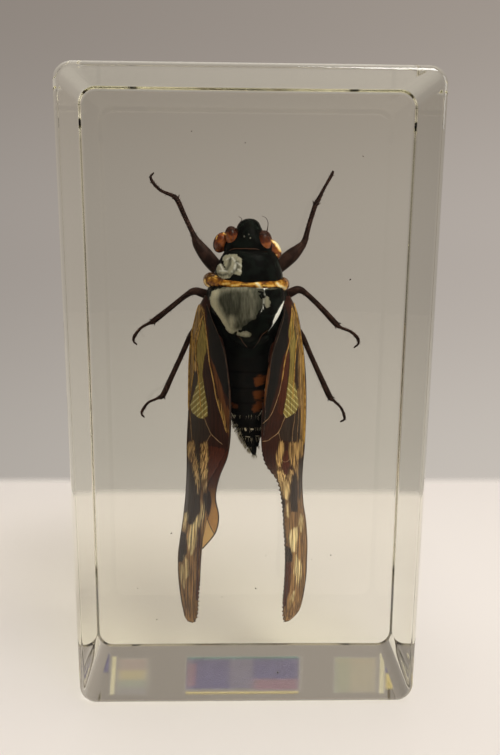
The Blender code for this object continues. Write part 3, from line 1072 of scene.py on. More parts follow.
@dataclass
class Inclusions:
    """Dust specks that were caught in the resin, seen as small dark grains."""

    specks: tuple[tuple[float, float, float, float], ...] = (
        (195, 132, -8.0, 0.16), (246, 142, 6.0, 0.14), (359, 155, -3.0, 0.15), (343, 279, -10.0, 0.22),
        (208, 279, 8.0, 0.15), (327, 555, -6.0, 0.17), (266, 556, 4.0, 0.12), (254, 588, -12.0, 0.2),
        (222, 597, 2.0, 0.12), (161, 619, -9.0, 0.18), (137, 588, 5.0, 0.14), (173, 533, -4.0, 0.2),
        (314, 560, 9.0, 0.12),
    )

    def build(self, palette: Palette) -> Piece:
        """Makes all specks as one piece."""
        lines = []
        for number, (column, row, depth, size) in enumerate(self.specks):
            x, z = SIGHT.to_plane(column, row)
            z -= SIGHT.drop(depth - SIGHT.depth, z)
            lean = 0.6 * math.sin(number * 2.4)
            start = (x - size * 0.6, depth, z - size * lean, size * 0.25)
            end = (x + size * 0.6, depth, z + size * lean, size * 0.3)
            lines.append(np.array([start, (x, depth + size * 0.3, z, size * 0.6), end]))
        specks = tubes("dust_specks", lines, palette.dust, sides=7)
        specks.location.z = INSECT_DATUM * MM
        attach(specks, BODY)
        return specks


@dataclass
class BaseFilm:
    """A sheet just above the block's base that carries a painted rainbow sheen.

    Each band has its colour's name, its extent in x and in y in millimetres, its strength, and how far
    its edges fade. The bands lean: their extent in x holds at the first value of lean in y, and grows and
    shifts by the other two for each millimetre behind it.
    """

    bands: tuple[tuple[str, tuple[float, float], tuple[float, float], float, float], ...] = (
        ("violet", (-11.6, 9.7), (-9.5, 8.6), 0.42, 0.5),
        ("violet", (-10.6, -3.0), (-9.5, 7.6), 0.68, 2.4),
        ("violet", (0.6, 9.6), (-4.6, 8.0), 0.7, 2.4),
        ("plum", (1.2, 9.6), (-10.4, -4.4), 0.5, 2.6),
        ("plum", (-11.4, -9.6), (-8.0, 5.0), 0.36, 1.2),
        ("teal", (-11.4, 9.5), (7.6, 9.0), 0.6, 0.8),
        ("gold", (-11.4, 9.7), (-11.9, -11.2), 0.75, 0.3),
        ("rose", (-24.4, -18.7), (0.6, 8.4), 0.24, 2.2),
        ("gold", (-24.4, -18.7), (-4.6, 1.6), 0.3, 2.6),
        ("green", (-24.4, -18.7), (-8.6, -4.0), 0.26, 2.6),
        ("violet", (-24.4, -18.7), (-12.0, -8.4), 0.2, 1.4),
        ("pale", (-25.5, -24.7), (-12.0, 9.6), 0.55, 0.7),
        ("violet", (-27.4, -26.0), (0.5, 11.5), 0.7, 0.9),
        ("green", (16.3, 19.4), (-12.0, 8.8), 0.24, 0.9),
        ("gold", (16.6, 24.4), (-12.0, 8.4), 0.22, 1.8),
        ("rose", (16.4, 19.4), (5.4, 6.8), 0.34, 0.9),
        ("rose", (19.2, 24.4), (5.0, 6.4), 0.2, 1.0),
        ("pale", (24.9, 25.8), (-12.4, 11.0), 0.6, 0.7),
        ("violet", (26.0, 27.6), (-1.0, 12.5), 0.7, 0.9),
        ("gold", (26.0, 27.6), (-10.0, -1.0), 0.5, 1.0),
    )
    lean: tuple[float, float, float] = (-11.4, 0.0039, 0.027)
    half_width: float = 27.95
    reach: tuple[float, float] = (-13.2, 13.0)
    height: float = 0.13
    thickness: float = 0.02
    spacing: float = 0.2
    bubble: tuple[Point, float] = ((6.2, -1.6, 0.5), 0.16)

    def build(self, palette: Palette) -> Piece:
        """Makes the sheet of painted sheen, and the small bubble above it."""
        across = np.arange(-self.half_width, self.half_width, self.spacing)
        along = np.arange(*self.reach, self.spacing)
        x, y = np.meshgrid(across, along)
        grid = np.stack([x, y, np.full_like(x, self.height)], axis=-1)
        film, points = closed_sheet("rainbow_sheen_sheet", grid, self.thickness, palette.film)
        masks = {name: np.zeros(len(points)) for name, _ in FilmFinish().bands}
        origin, spread, shift = self.lean
        back = points[:, 1] - origin
        column = (points[:, 0] - shift * back) / (1 + spread * back)
        for name, (left, right), (near, far), strength, fade in self.bands:
            inside_x = np.minimum(column - left, right - column)
            inside_y = np.minimum(points[:, 1] - near, far - points[:, 1])
            band = smoothstep(-fade / 2, fade / 2, np.minimum(inside_x, inside_y))
            masks[name] = np.maximum(masks[name], strength * band)
        paint(film, masks)
        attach(film, BODY)
        centre, radius = self.bubble
        bubble = ball("resin_bubble", centre, (radius, radius, radius * 1.3), palette.ocellus, detail=16)
        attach(bubble, BODY)
        return film


# The insect


class InsectPart:
    """A part of the insect: what its pieces share."""

    def __init__(self, palette: Palette) -> None:
        """Keeps the finishes at hand."""
        self.palette = palette

    def keep(self, piece: Piece) -> Piece:
        """Puts a piece in the CAD insect's place and reports it."""
        piece.location.z = INSECT_DATUM * MM
        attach(piece, BODY)
        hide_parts("cicada")
        LOG.info("%s: %d faces", piece.name, len(piece.data.polygons))
        return piece

    def body_form(
        self,
        name: str,
        sections: Sequence[Point],
        finish: Material,
        squareness: float = 2.0,
        rows: int = 72,
        around: int = 96,
    ) -> tuple[Piece, np.ndarray]:
        """A rounded form along the body.

        Args:
            name: The piece's name.
            sections: Rows of z, x, y, half width and half depth.
            finish: The piece's material.
            squareness: How square its sections are.
            rows: How many rings it has.
            around: How many points a ring has.

        Returns:
            The piece and its vertices in millimetres.
        """
        rings = rings_of(smooth(sections, rows), around, squareness)
        piece = self.keep(closed_skin(name, rings, finish))
        return piece, vertices_of(piece)


def vertices_of(piece: Piece) -> np.ndarray:
    """A piece's vertices in millimetres."""
    flat = np.empty(len(piece.data.vertices) * 3)
    piece.data.vertices.foreach_get("co", flat)
    return flat.reshape(-1, 3) / MM


@dataclass
class HeadSizes:
    """Sizes and places on the head. Each antenna has its line and how many points to make of it."""

    crown: tuple[Point, ...] = (
        (86.7, 0.1, 0.9, 0.05, 0.05), (86.55, 0.1, 0.85, 0.9, 1.2), (86.0, 0.05, 0.8, 1.7, 2.1),
        (85.0, 0.0, 0.6, 2.25, 2.9), (83.8, -0.1, 0.4, 3.1, 3.3), (82.5, -0.15, 0.2, 4.3, 3.5),
        (81.4, -0.1, 0.2, 4.6, 3.7), (80.0, 0.0, 0.3, 4.0, 3.6),
    )
    eyes: tuple[tuple[str, Point, Point, float], ...] = (
        ("left", (-4.95, 0.1, 82.45), (1.38, 1.7, 1.9), 24.0),
        ("right", (4.15, 0.1, 81.25), (1.46, 1.7, 2.05), -35.0),
    )
    lobes: tuple[tuple[str, Point, Point, float], ...] = (
        ("left", (-3.0, -1.1, 83.5), (1.32, 1.7, 1.85), -12.0),
        ("right", (2.5, -1.2, 82.5), (1.6, 1.8, 2.15), 6.0),
    )
    ocelli: tuple[Pixel, ...] = ((242.7, 235.8), (248.0, 232.8), (251.2, 237.2))
    ocellus_radii: Point = (0.15, 0.12, 0.17)
    antennae: tuple[tuple[tuple[Point, ...], int], ...] = (
        (
            (
                (-2.2, 0.0, 84.8, 0.13), (-1.9, -0.2, 85.6, 0.07), (-1.3, -0.3, 86.5, 0.05),
                (-1.9, -0.3, 87.0, 0.025),
            ),
            14,
        ),
        (
            (
                (3.1, -0.6, 84.2, 0.13), (3.3, -0.7, 85.2, 0.07), (3.3, -0.7, 86.1, 0.05),
                (2.9, -0.7, 86.8, 0.04), (2.2, -0.7, 87.1, 0.025),
            ),
            18,
        ),
    )
    mouthpart: tuple[Point, ...] = (
        (0.1, 2.6, 83.6, 1.0), (0.1, 4.6, 81.0, 0.8), (0.0, 5.9, 77.6, 0.5), (0.0, 6.5, 73.0, 0.35),
        (0.0, 6.6, 69.2, 0.15),
    )
    gleam: tuple[Outline | Stroke, ...] = (
        Outline((
            (270.0, 239.5), (275, 240), (279.3, 243.5), (282, 248), (282, 252.6), (279, 251.8),
            (276.3, 247.6), (273, 243.6),
        )),
        Stroke(((271.5, 256), (274, 255.5), (276, 254.6)), 0.35),
        Stroke(((223.6, 233.2), (225.4, 234.6)), 0.28),
        Stroke(((216.2, 239.5), (217.6, 236.2)), 0.2),
    )
    border: tuple[Point, ...] = (
        (227.8, 252.3), (233.6, 249.8), (239.3, 248.3), (248, 247.7), (256.6, 249.3), (262.3, 253.6),
        (266, 256.5),
    )


class Head(InsectPart):
    """The head with its eyes, lobes, ocelli, antennae and mouthpart."""

    def __init__(self, palette: Palette, sizes: HeadSizes | None = None) -> None:
        """Takes the sizes, or the usual ones."""
        super().__init__(palette)
        self.sizes = sizes or HeadSizes()

    def build(self) -> None:
        """Makes all the head's pieces."""
        _, skin = self.body_form("head", self.sizes.crown, self.palette.black, 2.2)
        for side, centre, radii, lean in self.sizes.eyes:
            self._eye(f"eye_{side}", centre, radii, lean, 0.0)
        for side, centre, radii, lean in self.sizes.lobes:
            self._eye(f"eye_root_{side}", centre, radii, lean, 1.0)
        for number, pixel in enumerate(self.sizes.ocelli):
            place = tuple(laid_line(skin, (pixel, pixel), 0.05)[0, :3])
            name = f"ocellus_{number + 1}"
            self.keep(ball(name, place, self.sizes.ocellus_radii, self.palette.ocellus, detail=16))
        self.keep(tubes("head_seam", [laid_line(skin, self.sizes.border, 0.07)], self.palette.seam, 8))
        bristles = [smooth(line, count) for line, count in self.sizes.antennae]
        self.keep(tubes("antennae", bristles, self.palette.leg, 8))
        self.keep(tubes("mouthpart", [smooth(self.sizes.mouthpart, 40)], self.palette.leg, 16))

    def _eye(self, name: str, centre: Point, radii: Point, lean: float, brow: float) -> None:
        """Makes a glassy ball with painted shade towards its rim, darker at its top where brow is 1, and
        with painted glints where the gleam marks lie.
        """
        eye = self.keep(ball(name, centre, radii, self.palette.eye, lean, 64))
        points = vertices_of(eye)
        out = (points - np.array(centre)) / np.array(radii)
        # painted shade: darker towards the rim as seen from the front, and at the top where brow is 1
        rim = 0.85 * smoothstep(0.55, 0.12, -out[:, 1])
        top = brow * smoothstep(-0.15, 0.65, out[:, 2])
        gleam = all_marks(self.sizes.gleam, points, 0.3)
        paint(eye, {"glint": gleam, "edge": np.maximum(rim, top)})


@dataclass
class ThoraxSizes:
    """Sizes and marks of the thorax."""

    pronotum: tuple[Point, ...] = (
        (81.5, 0.1, 0.3, 3.2, 3.0), (81.2, 0.1, 0.2, 4.0, 3.7), (80.4, 0.1, 0.0, 4.8, 4.7),
        (78.6, 0.0, -0.1, 5.6, 5.4), (76.8, -0.1, -0.1, 6.2, 5.9), (75.0, -0.2, -0.1, 6.3, 6.0),
    )
    trunk: tuple[Point, ...] = (
        (76.0, -0.2, 0.6, 6.0, 5.3), (74.0, -0.3, 0.6, 7.2, 5.6), (71.0, -0.2, 0.7, 7.4, 5.6),
        (67.5, 0.0, 0.9, 6.6, 5.2), (64.0, 0.0, 1.2, 5.2, 4.6), (61.5, 0.0, 1.3, 4.4, 4.2),
    )
    mesonotum: tuple[Point, ...] = (
        (75.4, -0.3, -2.4, 5.6, 3.6), (74.2, -0.4, -2.6, 6.6, 4.0), (72.3, -0.4, -2.7, 6.7, 4.2),
        (70.0, -0.3, -2.5, 5.9, 4.2), (68.0, -0.2, -2.2, 4.7, 3.9), (66.3, -0.1, -1.9, 3.5, 3.4),
        (64.6, 0.1, -1.4, 2.4, 2.6),
    )
    collar: tuple[Point, ...] = (
        (-6.5, 2.2, 75.7, 0.6), (-6.85, 0.2, 75.8, 1.35), (-6.4, -2.4, 75.7, 1.2),
        (-4.6, -4.9, 75.4, 0.7), (-2.6, -5.8, 75.25, 0.62), (-0.6, -6.1, 75.2, 0.42),
        (0.8, -6.1, 75.15, 0.48), (2.6, -5.6, 75.15, 0.7), (4.6, -4.2, 75.15, 0.72),
        (5.7, -2.2, 75.1, 1.1), (6.1, 0.4, 75.15, 1.25), (5.9, 2.2, 75.2, 0.6),
    )
    collar_top: float = 75.9
    collar_shine: tuple[Stroke, ...] = (
        Stroke(((204.6, 280.5), (205.6, 284.5), (208.5, 287.0)), 0.55),
        Stroke(((222.5, 284.2), (228.5, 283.6)), 0.45),
        Stroke(((231.5, 285.8), (237, 285.2)), 0.5),
        Stroke(((238, 284.2), (247, 284.4), (256, 283.8)), 0.26),
        Stroke(((255.8, 283.0), (258.6, 286), (260.8, 289.5)), 0.85),
        Stroke(((262.5, 285.4), (272.5, 285.6)), 0.36),
        Stroke(((276, 283), (279.5, 286), (284, 287.8)), 0.8),
        Stroke(((277, 288.5), (281, 289.6)), 0.3),
        Stroke(((212.5, 277), (216, 279)), 0.16),
    )
    pronotum_silver: tuple[Outline, ...] = (
        Outline((
            (222.2, 259.4), (224, 256), (229.7, 254.2), (235.5, 254.2), (241.3, 259.4), (241.9, 267.5),
            (239.6, 275.6), (233.2, 274.5), (229.7, 278), (222.8, 279.1), (217.6, 276.2), (216.4, 269.8),
            (217.6, 265.2), (221, 263.6), (222.8, 267), (226, 269.4), (224.2, 265),
        )),
    )
    pronotum_glints: tuple[Stroke, ...] = (
        Stroke(((220.2, 264.6), (221.4, 267.5), (223, 270.8)), 0.32),
        Stroke(((219.5, 271), (226, 271.2)), 0.22),
        Stroke(((232, 257.6), (234.6, 261.5), (234.8, 267), (231.8, 272)), 0.24),
        Stroke(((237.4, 263.2), (241, 266)), 0.2),
        Stroke(((238.4, 269.6), (240.6, 271.4)), 0.26),
        Stroke(((226, 260), (229, 258)), 0.16),
    )
    # strokes along which the pronotum's foil is painted darker, as painted shade in its creases
    pronotum_creases: tuple[Stroke, ...] = (
        Stroke(((226, 270), (229, 265), (230, 259)), 0.5),
        Stroke(((229.5, 276), (233, 272), (237.5, 267.5), (236.5, 262)), 0.5),
        Stroke(((218, 274), (222, 275.5), (227, 274)), 0.4),
    )
    mesonotum_silver: tuple[Outline | Stroke, ...] = (
        Outline((
            (212, 291), (217, 289.5), (222, 287.4), (240, 286), (256, 287), (262, 289), (262, 298),
            (261.6, 305), (258, 311), (255, 318), (248, 322), (243, 326), (240, 330), (235.5, 331),
            (232, 334), (227, 331.5), (223, 324), (216, 313), (210.5, 305), (209.6, 298),
        )),
        Outline(((264.6, 295), (267.5, 297), (269.2, 302), (268.6, 306), (264.8, 308.6), (263.6, 303))),
        Outline(((236, 331), (240, 333), (245, 330), (251, 334), (249, 337.5), (242, 337), (237, 335))),
        Stroke(((284.4, 302), (280.7, 307.5), (276.4, 315), (273.6, 322)), 0.75),
        Stroke(((273.6, 322), (271.4, 327), (268.4, 331.5)), 0.35),
        Stroke(((263.2, 286), (263.6, 296), (262.8, 306), (259, 314)), 0.2),
        Outline(((255, 286), (272, 287), (280, 288.4), (270, 289.6), (258, 289.6))),
    )
    mesonotum_gaps: tuple[Stroke, ...] = (
        Stroke(((257.5, 291.5), (261, 292.5), (261.5, 296.5)), 0.32),
        Stroke(((258.6, 295), (260.4, 298)), 0.3),
        Stroke(((266.5, 291), (268, 294)), 0.4),
    )
    # painted highlights: the mesonotum's white arc and bright streaks
    bright: tuple[Stroke, ...] = (
        Stroke(((284.2, 302), (280.7, 307.5), (276.4, 315), (273.6, 322)), 0.7),
        Stroke(((273.6, 322), (271.4, 327), (268.4, 331.5)), 0.3),
        Stroke(((263.2, 287), (263.6, 296), (262.8, 306), (259.6, 313)), 0.14),
        Stroke(((256, 287.5), (266, 288)), 0.16),
    )
    # strokes along which the mesonotum's foil is painted lighter as painted reflection, each with its
    # strength
    glow: tuple[tuple[Stroke, float], ...] = (
        (Stroke(((215, 292), (211.8, 299), (214, 307), (220, 318), (228, 331)), 1.5), 0.85),
        (Stroke(((222, 290), (232, 288.5), (245, 288)), 0.8), 0.42),
        (Stroke(((231, 320), (230, 329), (234, 333), (246, 334)), 1.3), 0.6),
        (Stroke(((249, 291), (252, 300), (250, 314)), 2.0), 0.2),
        (Stroke(((266.5, 298), (266.5, 306)), 1.0), 0.55),
        (Stroke(((244, 296), (244, 318)), 1.0), 0.24),
    )
    ridges: tuple[tuple[str, Point, float], ...] = (
        ("left", (-1.3, -3.6, 65.0), 25.0),
        ("right", (1.7, -3.6, 65.0), -25.0),
    )
    ridge_radii: Point = (2.3, 0.8, 0.8)
    cross_lines: tuple[tuple[Point, ...], ...] = (
        ((235.3, 336), (241.4, 341.2), (246, 348.4)),
        ((268, 331), (259.8, 338), (253.7, 349.4)),
    )


class Thorax(InsectPart):
    """The pronotum, the golden collar, the mesonotum and the trunk that carries the legs."""

    def __init__(self, palette: Palette, sizes: ThoraxSizes | None = None) -> None:
        """Takes the sizes, or the usual ones."""
        super().__init__(palette)
        self.sizes = sizes or ThoraxSizes()

    def build(self) -> None:
        """Makes all the thorax's pieces."""
        sizes = self.sizes
        self.body_form("trunk", sizes.trunk, self.palette.black)
        pronotum, points = self.body_form("pronotum", sizes.pronotum, self.palette.silvered, 2.3)
        front = points[:, 1] < 0.5
        creases = smoothstep(0.3, 0.7, all_marks(sizes.pronotum_creases, points, 0.5))
        glints = smoothstep(0.3, 0.9, all_marks(sizes.pronotum_glints, points, 0.3))
        silver = all_marks(sizes.pronotum_silver, points, 0.8) * front
        # painted highlights along the glints, and painted shade in the creases, on the pronotum's foil
        paint(pronotum, {"silver": silver, "bright": 0.7 * glints * front, "glow": 0.5 - 0.36 * creases})
        mesonotum, points = self.body_form(
            "mesonotum", sizes.mesonotum, self.palette.silvered, 2.2, 110, 180
        )
        front = points[:, 1] < 0.5
        gaps = smoothstep(0.4, 0.6, all_marks(sizes.mesonotum_gaps, points, 0.25))
        # painted reflection: the mesonotum's foil lighter along the listed strokes
        glow = np.full(len(points), 0.05)
        for stroke, strength in sizes.glow:
            glow = np.maximum(glow, strength * smoothstep(0.05, 0.95, stroke.field(points, 1.2)))
        silver = all_marks(sizes.mesonotum_silver, points, 0.8) * front * (1.0 - gaps)
        # painted highlights on the mesonotum
        bright = smoothstep(0.4, 0.62, all_marks(sizes.bright, points, 0.3)) * front
        paint(mesonotum, {"silver": silver, "bright": bright, "glow": glow})
        collar = self.keep(tubes("golden_collar", [smooth(sizes.collar, 220)], self.palette.gold, 32))
        ring = vertices_of(collar)
        # painted shade: the collar darker towards its top
        shadow = 0.7 * smoothstep(sizes.collar_top - 0.2, sizes.collar_top + 0.7, ring[:, 2])
        paint(collar, {"glint": all_marks(sizes.collar_shine, ring, 0.4), "edge": shadow})
        for side, centre, lean in sizes.ridges:
            ridge = ball(f"cross_ridge_{side}", centre, sizes.ridge_radii, self.palette.black, lean)
            self.keep(ridge)
            points = np.vstack([points, vertices_of(ridge)])
        lines = [laid_line(points, line, 0.05) for line in sizes.cross_lines]
        self.keep(tubes("cross_seams", lines, self.palette.seam, 8))


@dataclass
class AbdomenSizes:
    """Sizes and marks of the abdomen."""

    outline: tuple[Point, ...] = (
        (66.0, 0.0, 1.3, 4.7, 4.3), (60.0, 0.1, 1.4, 5.3, 4.6), (55.0, 0.2, 1.5, 4.8, 4.2),
        (51.0, 0.3, 1.5, 3.9, 3.5), (48.5, 0.4, 1.5, 2.9, 2.7), (46.4, 0.6, 1.4, 2.0, 1.9),
        (44.6, 0.9, 1.3, 1.1, 1.2), (43.1, 1.3, 1.2, 0.3, 0.4),
    )
    rings: tuple[float, ...] = (66.0, 62.6, 59.4, 56.4, 53.6, 51.0, 48.6, 46.6, 44.8, 43.1)
    rim_height: float = 0.24
    marks: tuple[Outline, ...] = (
        Outline((
            (253.5, 378.5), (258, 376), (265, 375.5), (265, 380), (262, 384.5), (256, 385.5),
            (253.5, 383),
        )),
        Outline(((251.8, 393), (256, 390.5), (264, 390), (264, 396), (260, 399.5), (254, 399.5))),
        Outline((
            (252, 406), (257, 402), (263, 400), (262.5, 406), (258, 410.5), (253, 412.5), (251.6, 410),
        )),
        Outline(((231, 403), (236, 404), (237, 407.5), (232, 408))),
    )
    pale_marks: tuple[Stroke, ...] = (
        Stroke(((244.6, 428.4), (245.2, 430.2)), 0.36),
        Stroke(((250.8, 429), (252.4, 429.2)), 0.34),
        Stroke(((245, 436.4), (249.4, 437)), 0.14),
        Stroke(((255, 436), (258.6, 436)), 0.12),
        Stroke(((258.6, 415.2), (261.4, 410.6)), 0.2),
        Stroke(((264, 388.6), (264.8, 393)), 0.18),
        Stroke(((231, 413), (234, 418)), 0.14),
    )
    fringe: tuple[float, float] = (42.9, 49.8)
    fringe_hairs: int = 320
    ring_hairs: int = 46
    first_haired_ring: int = 5


class Abdomen(InsectPart):
    """The ringed abdomen with its orange marks, pale rims and fine hairs."""

    def __init__(self, palette: Palette, sizes: AbdomenSizes | None = None) -> None:
        """Takes the sizes, or the usual ones."""
        super().__init__(palette)
        self.sizes = sizes or AbdomenSizes()

    def build(self) -> None:
        """Makes the abdomen's pieces."""
        sizes = self.sizes
        sections = smooth(sizes.outline, 220)
        edges = np.array(sizes.rings)
        for section in sections:
            ring = np.searchsorted(-edges, -section[0], side="right") - 1
            ring = min(max(ring, 0), len(edges) - 2)
            share = (edges[ring] - section[0]) / (edges[ring] - edges[ring + 1])
            swell = sizes.rim_height * (share**2 - 1.0) + 0.08 * math.sin(math.pi * share)
            section[3:] = np.maximum(section[3:] + swell, 0.05)
        abdomen = self.keep(closed_skin("abdomen", rings_of(sections, 96), self.palette.abdomen))
        points = vertices_of(abdomen)
        front = points[:, 1] < 1.0
        marks = all_marks(sizes.marks, points, 0.7) * front
        paint(abdomen, {"mark": marks, "pale": all_marks(sizes.pale_marks, points, 0.25) * front})
        for side, x in (("left", -2.7), ("right", 2.7)):
            self.keep(ball(f"sound_cover_{side}", (x, 4.7, 62.6), (2.3, 1.3, 4.2), self.palette.black))
        self._hairs()

    def _hairs(self) -> None:
        """Makes the pale hairs along the last rings and the tip."""
        draw = np.random.default_rng(7)
        outline = smooth(self.sizes.outline, 400)
        lines = []
        for edge in self.sizes.rings[self.sizes.first_haired_ring :]:
            section = outline[np.argmin(np.abs(outline[:, 0] - edge))]
            for _ in range(self.sizes.ring_hairs):
                out = self._outwards(draw.uniform(0, 2 * math.pi))
                root = self._on_section(section, out, edge + draw.uniform(0, 0.4))
                length = draw.uniform(0.5, 1.0)
                tip = root + length * (0.25 * out + np.array([draw.uniform(-0.1, 0.1), 0.0, -0.95]))
                middle = (root + tip) / 2 + 0.08 * out
                lines.append(np.array([(*root, 0.02), (*middle, 0.016), (*tip, 0.006)]))
        low, high = self.sizes.fringe
        for _ in range(self.sizes.fringe_hairs):
            height = draw.uniform(low + 0.8, high)
            section = outline[np.argmin(np.abs(outline[:, 0] - height))]
            out = self._outwards(math.pi + draw.uniform(-0.9, 0.9))
            root = self._on_section(section, out, height)
            tip = root + draw.uniform(0.3, 0.65) * (0.55 * out + np.array([0.0, 0.0, -0.9]))
            lines.append(np.array([(*root, 0.032), (*((root + tip) / 2), 0.026), (*tip, 0.01)]))
        self.keep(tubes("abdomen_hairs", lines, self.palette.hair, 5))

    @staticmethod
    def _outwards(angle: float) -> np.ndarray:
        """The level direction at an angle about the body, from +X towards +Y."""
        return np.array([math.cos(angle), math.sin(angle), 0.0])

    @staticmethod
    def _on_section(section: np.ndarray, out: np.ndarray, height: float) -> np.ndarray:
        """The place on a section's edge in a direction, at a height."""
        return np.array([section[1] + section[3] * out[0], section[2] + section[4] * out[1], height])


@dataclass(frozen=True)
class Leg:
    """One leg: its centre line with radii, and the numbers of the points where shin and foot begin."""

    name: str
    line: tuple[Point, ...]
    knee: int
    ankle: int


LEGS = (
    Leg("front_left", (
        (-2.6, 3.6, 76.4, 1.5), (-4.6, 4.7, 77.0, 1.25), (-6.3, 5.0, 78.4, 1.35), (-7.9, 5.1, 80.3, 1.3),
        (-9.3, 5.2, 82.2, 0.95), (-10.1, 5.3, 83.9, 0.5), (-11.6, 5.7, 87.0, 0.45),
        (-13.0, 6.1, 90.0, 0.48), (-14.0, 6.4, 90.8, 0.36), (-15.9, 6.9, 91.6, 0.28),
        (-17.2, 7.1, 92.8, 0.3), (-17.8, 7.1, 94.0, 0.24), (-17.2, 7.1, 94.8, 0.1),
    ), 4, 7),
    Leg("front_right", (
        (2.4, 3.6, 76.4, 1.5), (4.2, 4.7, 77.2, 1.25), (6.0, 5.0, 78.6, 1.35), (7.9, 5.1, 80.2, 1.3),
        (9.2, 5.2, 81.4, 0.95), (10.2, 5.3, 82.7, 0.6), (11.0, 5.7, 85.6, 0.45), (12.1, 6.1, 89.2, 0.45),
        (12.7, 6.3, 90.3, 0.42), (13.7, 6.6, 92.3, 0.28), (15.0, 7.0, 94.6, 0.3), (15.3, 7.1, 95.4, 0.2),
    ), 4, 7),
    Leg("middle_left", (
        (-3.0, 4.6, 71.6, 1.4), (-5.8, 4.9, 72.4, 1.0), (-8.2, 4.2, 73.2, 0.85), (-9.9, 4.0, 73.6, 0.7),
        (-11.6, 4.6, 72.7, 0.5), (-14.6, 5.9, 70.3, 0.5), (-17.5, 7.0, 68.0, 0.55),
        (-18.6, 7.2, 67.4, 0.3), (-20.1, 7.6, 66.5, 0.26), (-21.3, 7.9, 65.0, 0.32),
        (-21.5, 8.0, 64.0, 0.2), (-20.9, 8.0, 63.3, 0.08),
    ), 3, 6),
    Leg("middle_right", (
        (3.0, 4.6, 71.6, 1.4), (5.6, 4.9, 72.4, 1.0), (7.7, 4.2, 73.4, 0.85), (9.3, 4.0, 74.0, 0.7),
        (11.0, 4.6, 73.0, 0.5), (13.8, 5.9, 70.4, 0.52), (16.5, 7.0, 67.6, 0.56), (17.6, 7.2, 66.8, 0.3),
        (19.5, 7.6, 66.0, 0.28), (20.8, 7.9, 64.8, 0.33), (21.0, 8.0, 63.7, 0.2), (20.2, 8.0, 62.9, 0.08),
    ), 3, 6),
    Leg("hind_left", (
        (-2.6, 5.0, 66.4, 1.3), (-5.6, 6.0, 67.0, 0.95), (-8.6, 6.3, 67.2, 0.75),
        (-10.5, 6.4, 65.6, 0.55), (-12.4, 7.0, 61.6, 0.48), (-14.4, 7.6, 57.3, 0.5),
        (-16.1, 8.0, 53.7, 0.54), (-17.2, 8.2, 53.0, 0.28), (-19.0, 8.6, 52.1, 0.25),
        (-20.1, 8.9, 50.6, 0.28), (-20.3, 9.0, 49.8, 0.2), (-19.8, 9.0, 49.1, 0.08),
    ), 3, 6),
    Leg("hind_right", (
        (2.6, 5.0, 66.4, 1.3), (5.4, 6.0, 67.0, 0.95), (8.2, 6.3, 67.2, 0.75), (10.1, 6.4, 65.4, 0.55),
        (12.0, 7.0, 61.4, 0.48), (14.0, 7.6, 57.2, 0.52), (15.8, 8.0, 53.5, 0.56),
        (16.7, 8.2, 52.6, 0.28), (18.1, 8.6, 51.2, 0.25), (18.8, 8.9, 49.6, 0.28), (18.8, 9.0, 48.8, 0.2),
        (18.1, 9.0, 48.3, 0.08),
    ), 3, 6),
)


class Legs(InsectPart):
    """The six legs with their spurs and short hairs."""

    points_per_stretch: int = 9
    hairs_per_leg: int = 70

    def build(self) -> None:
        """Makes one piece for each leg and one for all their hairs."""
        draw = np.random.default_rng(11)
        hairs = []
        for leg in LEGS:
            line = smooth(leg.line, (len(leg.line) - 1) * self.points_per_stretch + 1)
            lines = [line]
            lines.extend(self._spurs(line, leg))
            lines.append(self._second_claw(line))
            self.keep(tubes(f"leg_{leg.name}", lines, self.palette.leg, 14))
            hairs.extend(self._hairs(line, leg, draw))
        self.keep(tubes("leg_hairs", hairs, self.palette.leg, 4))

    def _spurs(self, line: np.ndarray, leg: Leg) -> list[np.ndarray]:
        """Two short spurs at the shin's far end."""
        at = leg.ankle * self.points_per_stretch
        centre, radius = line[at, :3], line[at, 3]
        along = line[at, :3] - line[at - 3, :3]
        along /= np.linalg.norm(along)
        spurs = []
        for turn in (-1.0, 1.0):
            aside = np.cross(along, (0.0, turn, 0.4))
            tip = centre + along * 0.7 + aside * 0.75
            spurs.append(np.array([(*(centre - along * 0.2), radius * 0.5), (*tip, 0.05)]))
        return spurs

    @staticmethod
    def _second_claw(line: np.ndarray) -> np.ndarray:
        """The claw beside the one in which the leg's line ends."""
        root = line[-7, :3]
        tip = line[-1, :3]
        aside = np.array([0.0, 0.6, 0.0])
        return smooth(((*root, 0.2), (*((root + tip) / 2 + aside), 0.14), (*(tip + aside), 0.05)), 8)

    def _hairs(self, line: np.ndarray, leg: Leg, draw: np.random.Generator) -> list[np.ndarray]:
        """Short hairs that stand off the shin and the foot."""
        first = leg.knee * self.points_per_stretch
        hairs = []
        for _ in range(self.hairs_per_leg):
            at = int(draw.integers(first, len(line) - 8))
            centre, radius = line[at, :3], line[at, 3]
            along = line[at + 1, :3] - centre
            along /= np.linalg.norm(along)
            out = np.cross(along, draw.normal(size=3))
            out /= np.linalg.norm(out)
            root = centre + out * radius * 0.9
            tip = centre + out * (radius + 0.22) + along * 0.3
            hairs.append(np.array([(*root, 0.03), (*tip, 0.01)]))
        return hairs


class Side(Enum):
    """The insect's two sides, as seen in the photograph."""

    LEFT = -1
    RIGHT = 1


@dataclass(frozen=True)
class Vein:
    """A vein's line in pixels of the photograph, with its radius in millimetres."""

    pixels: tuple[Pixel, ...]
    radius: float


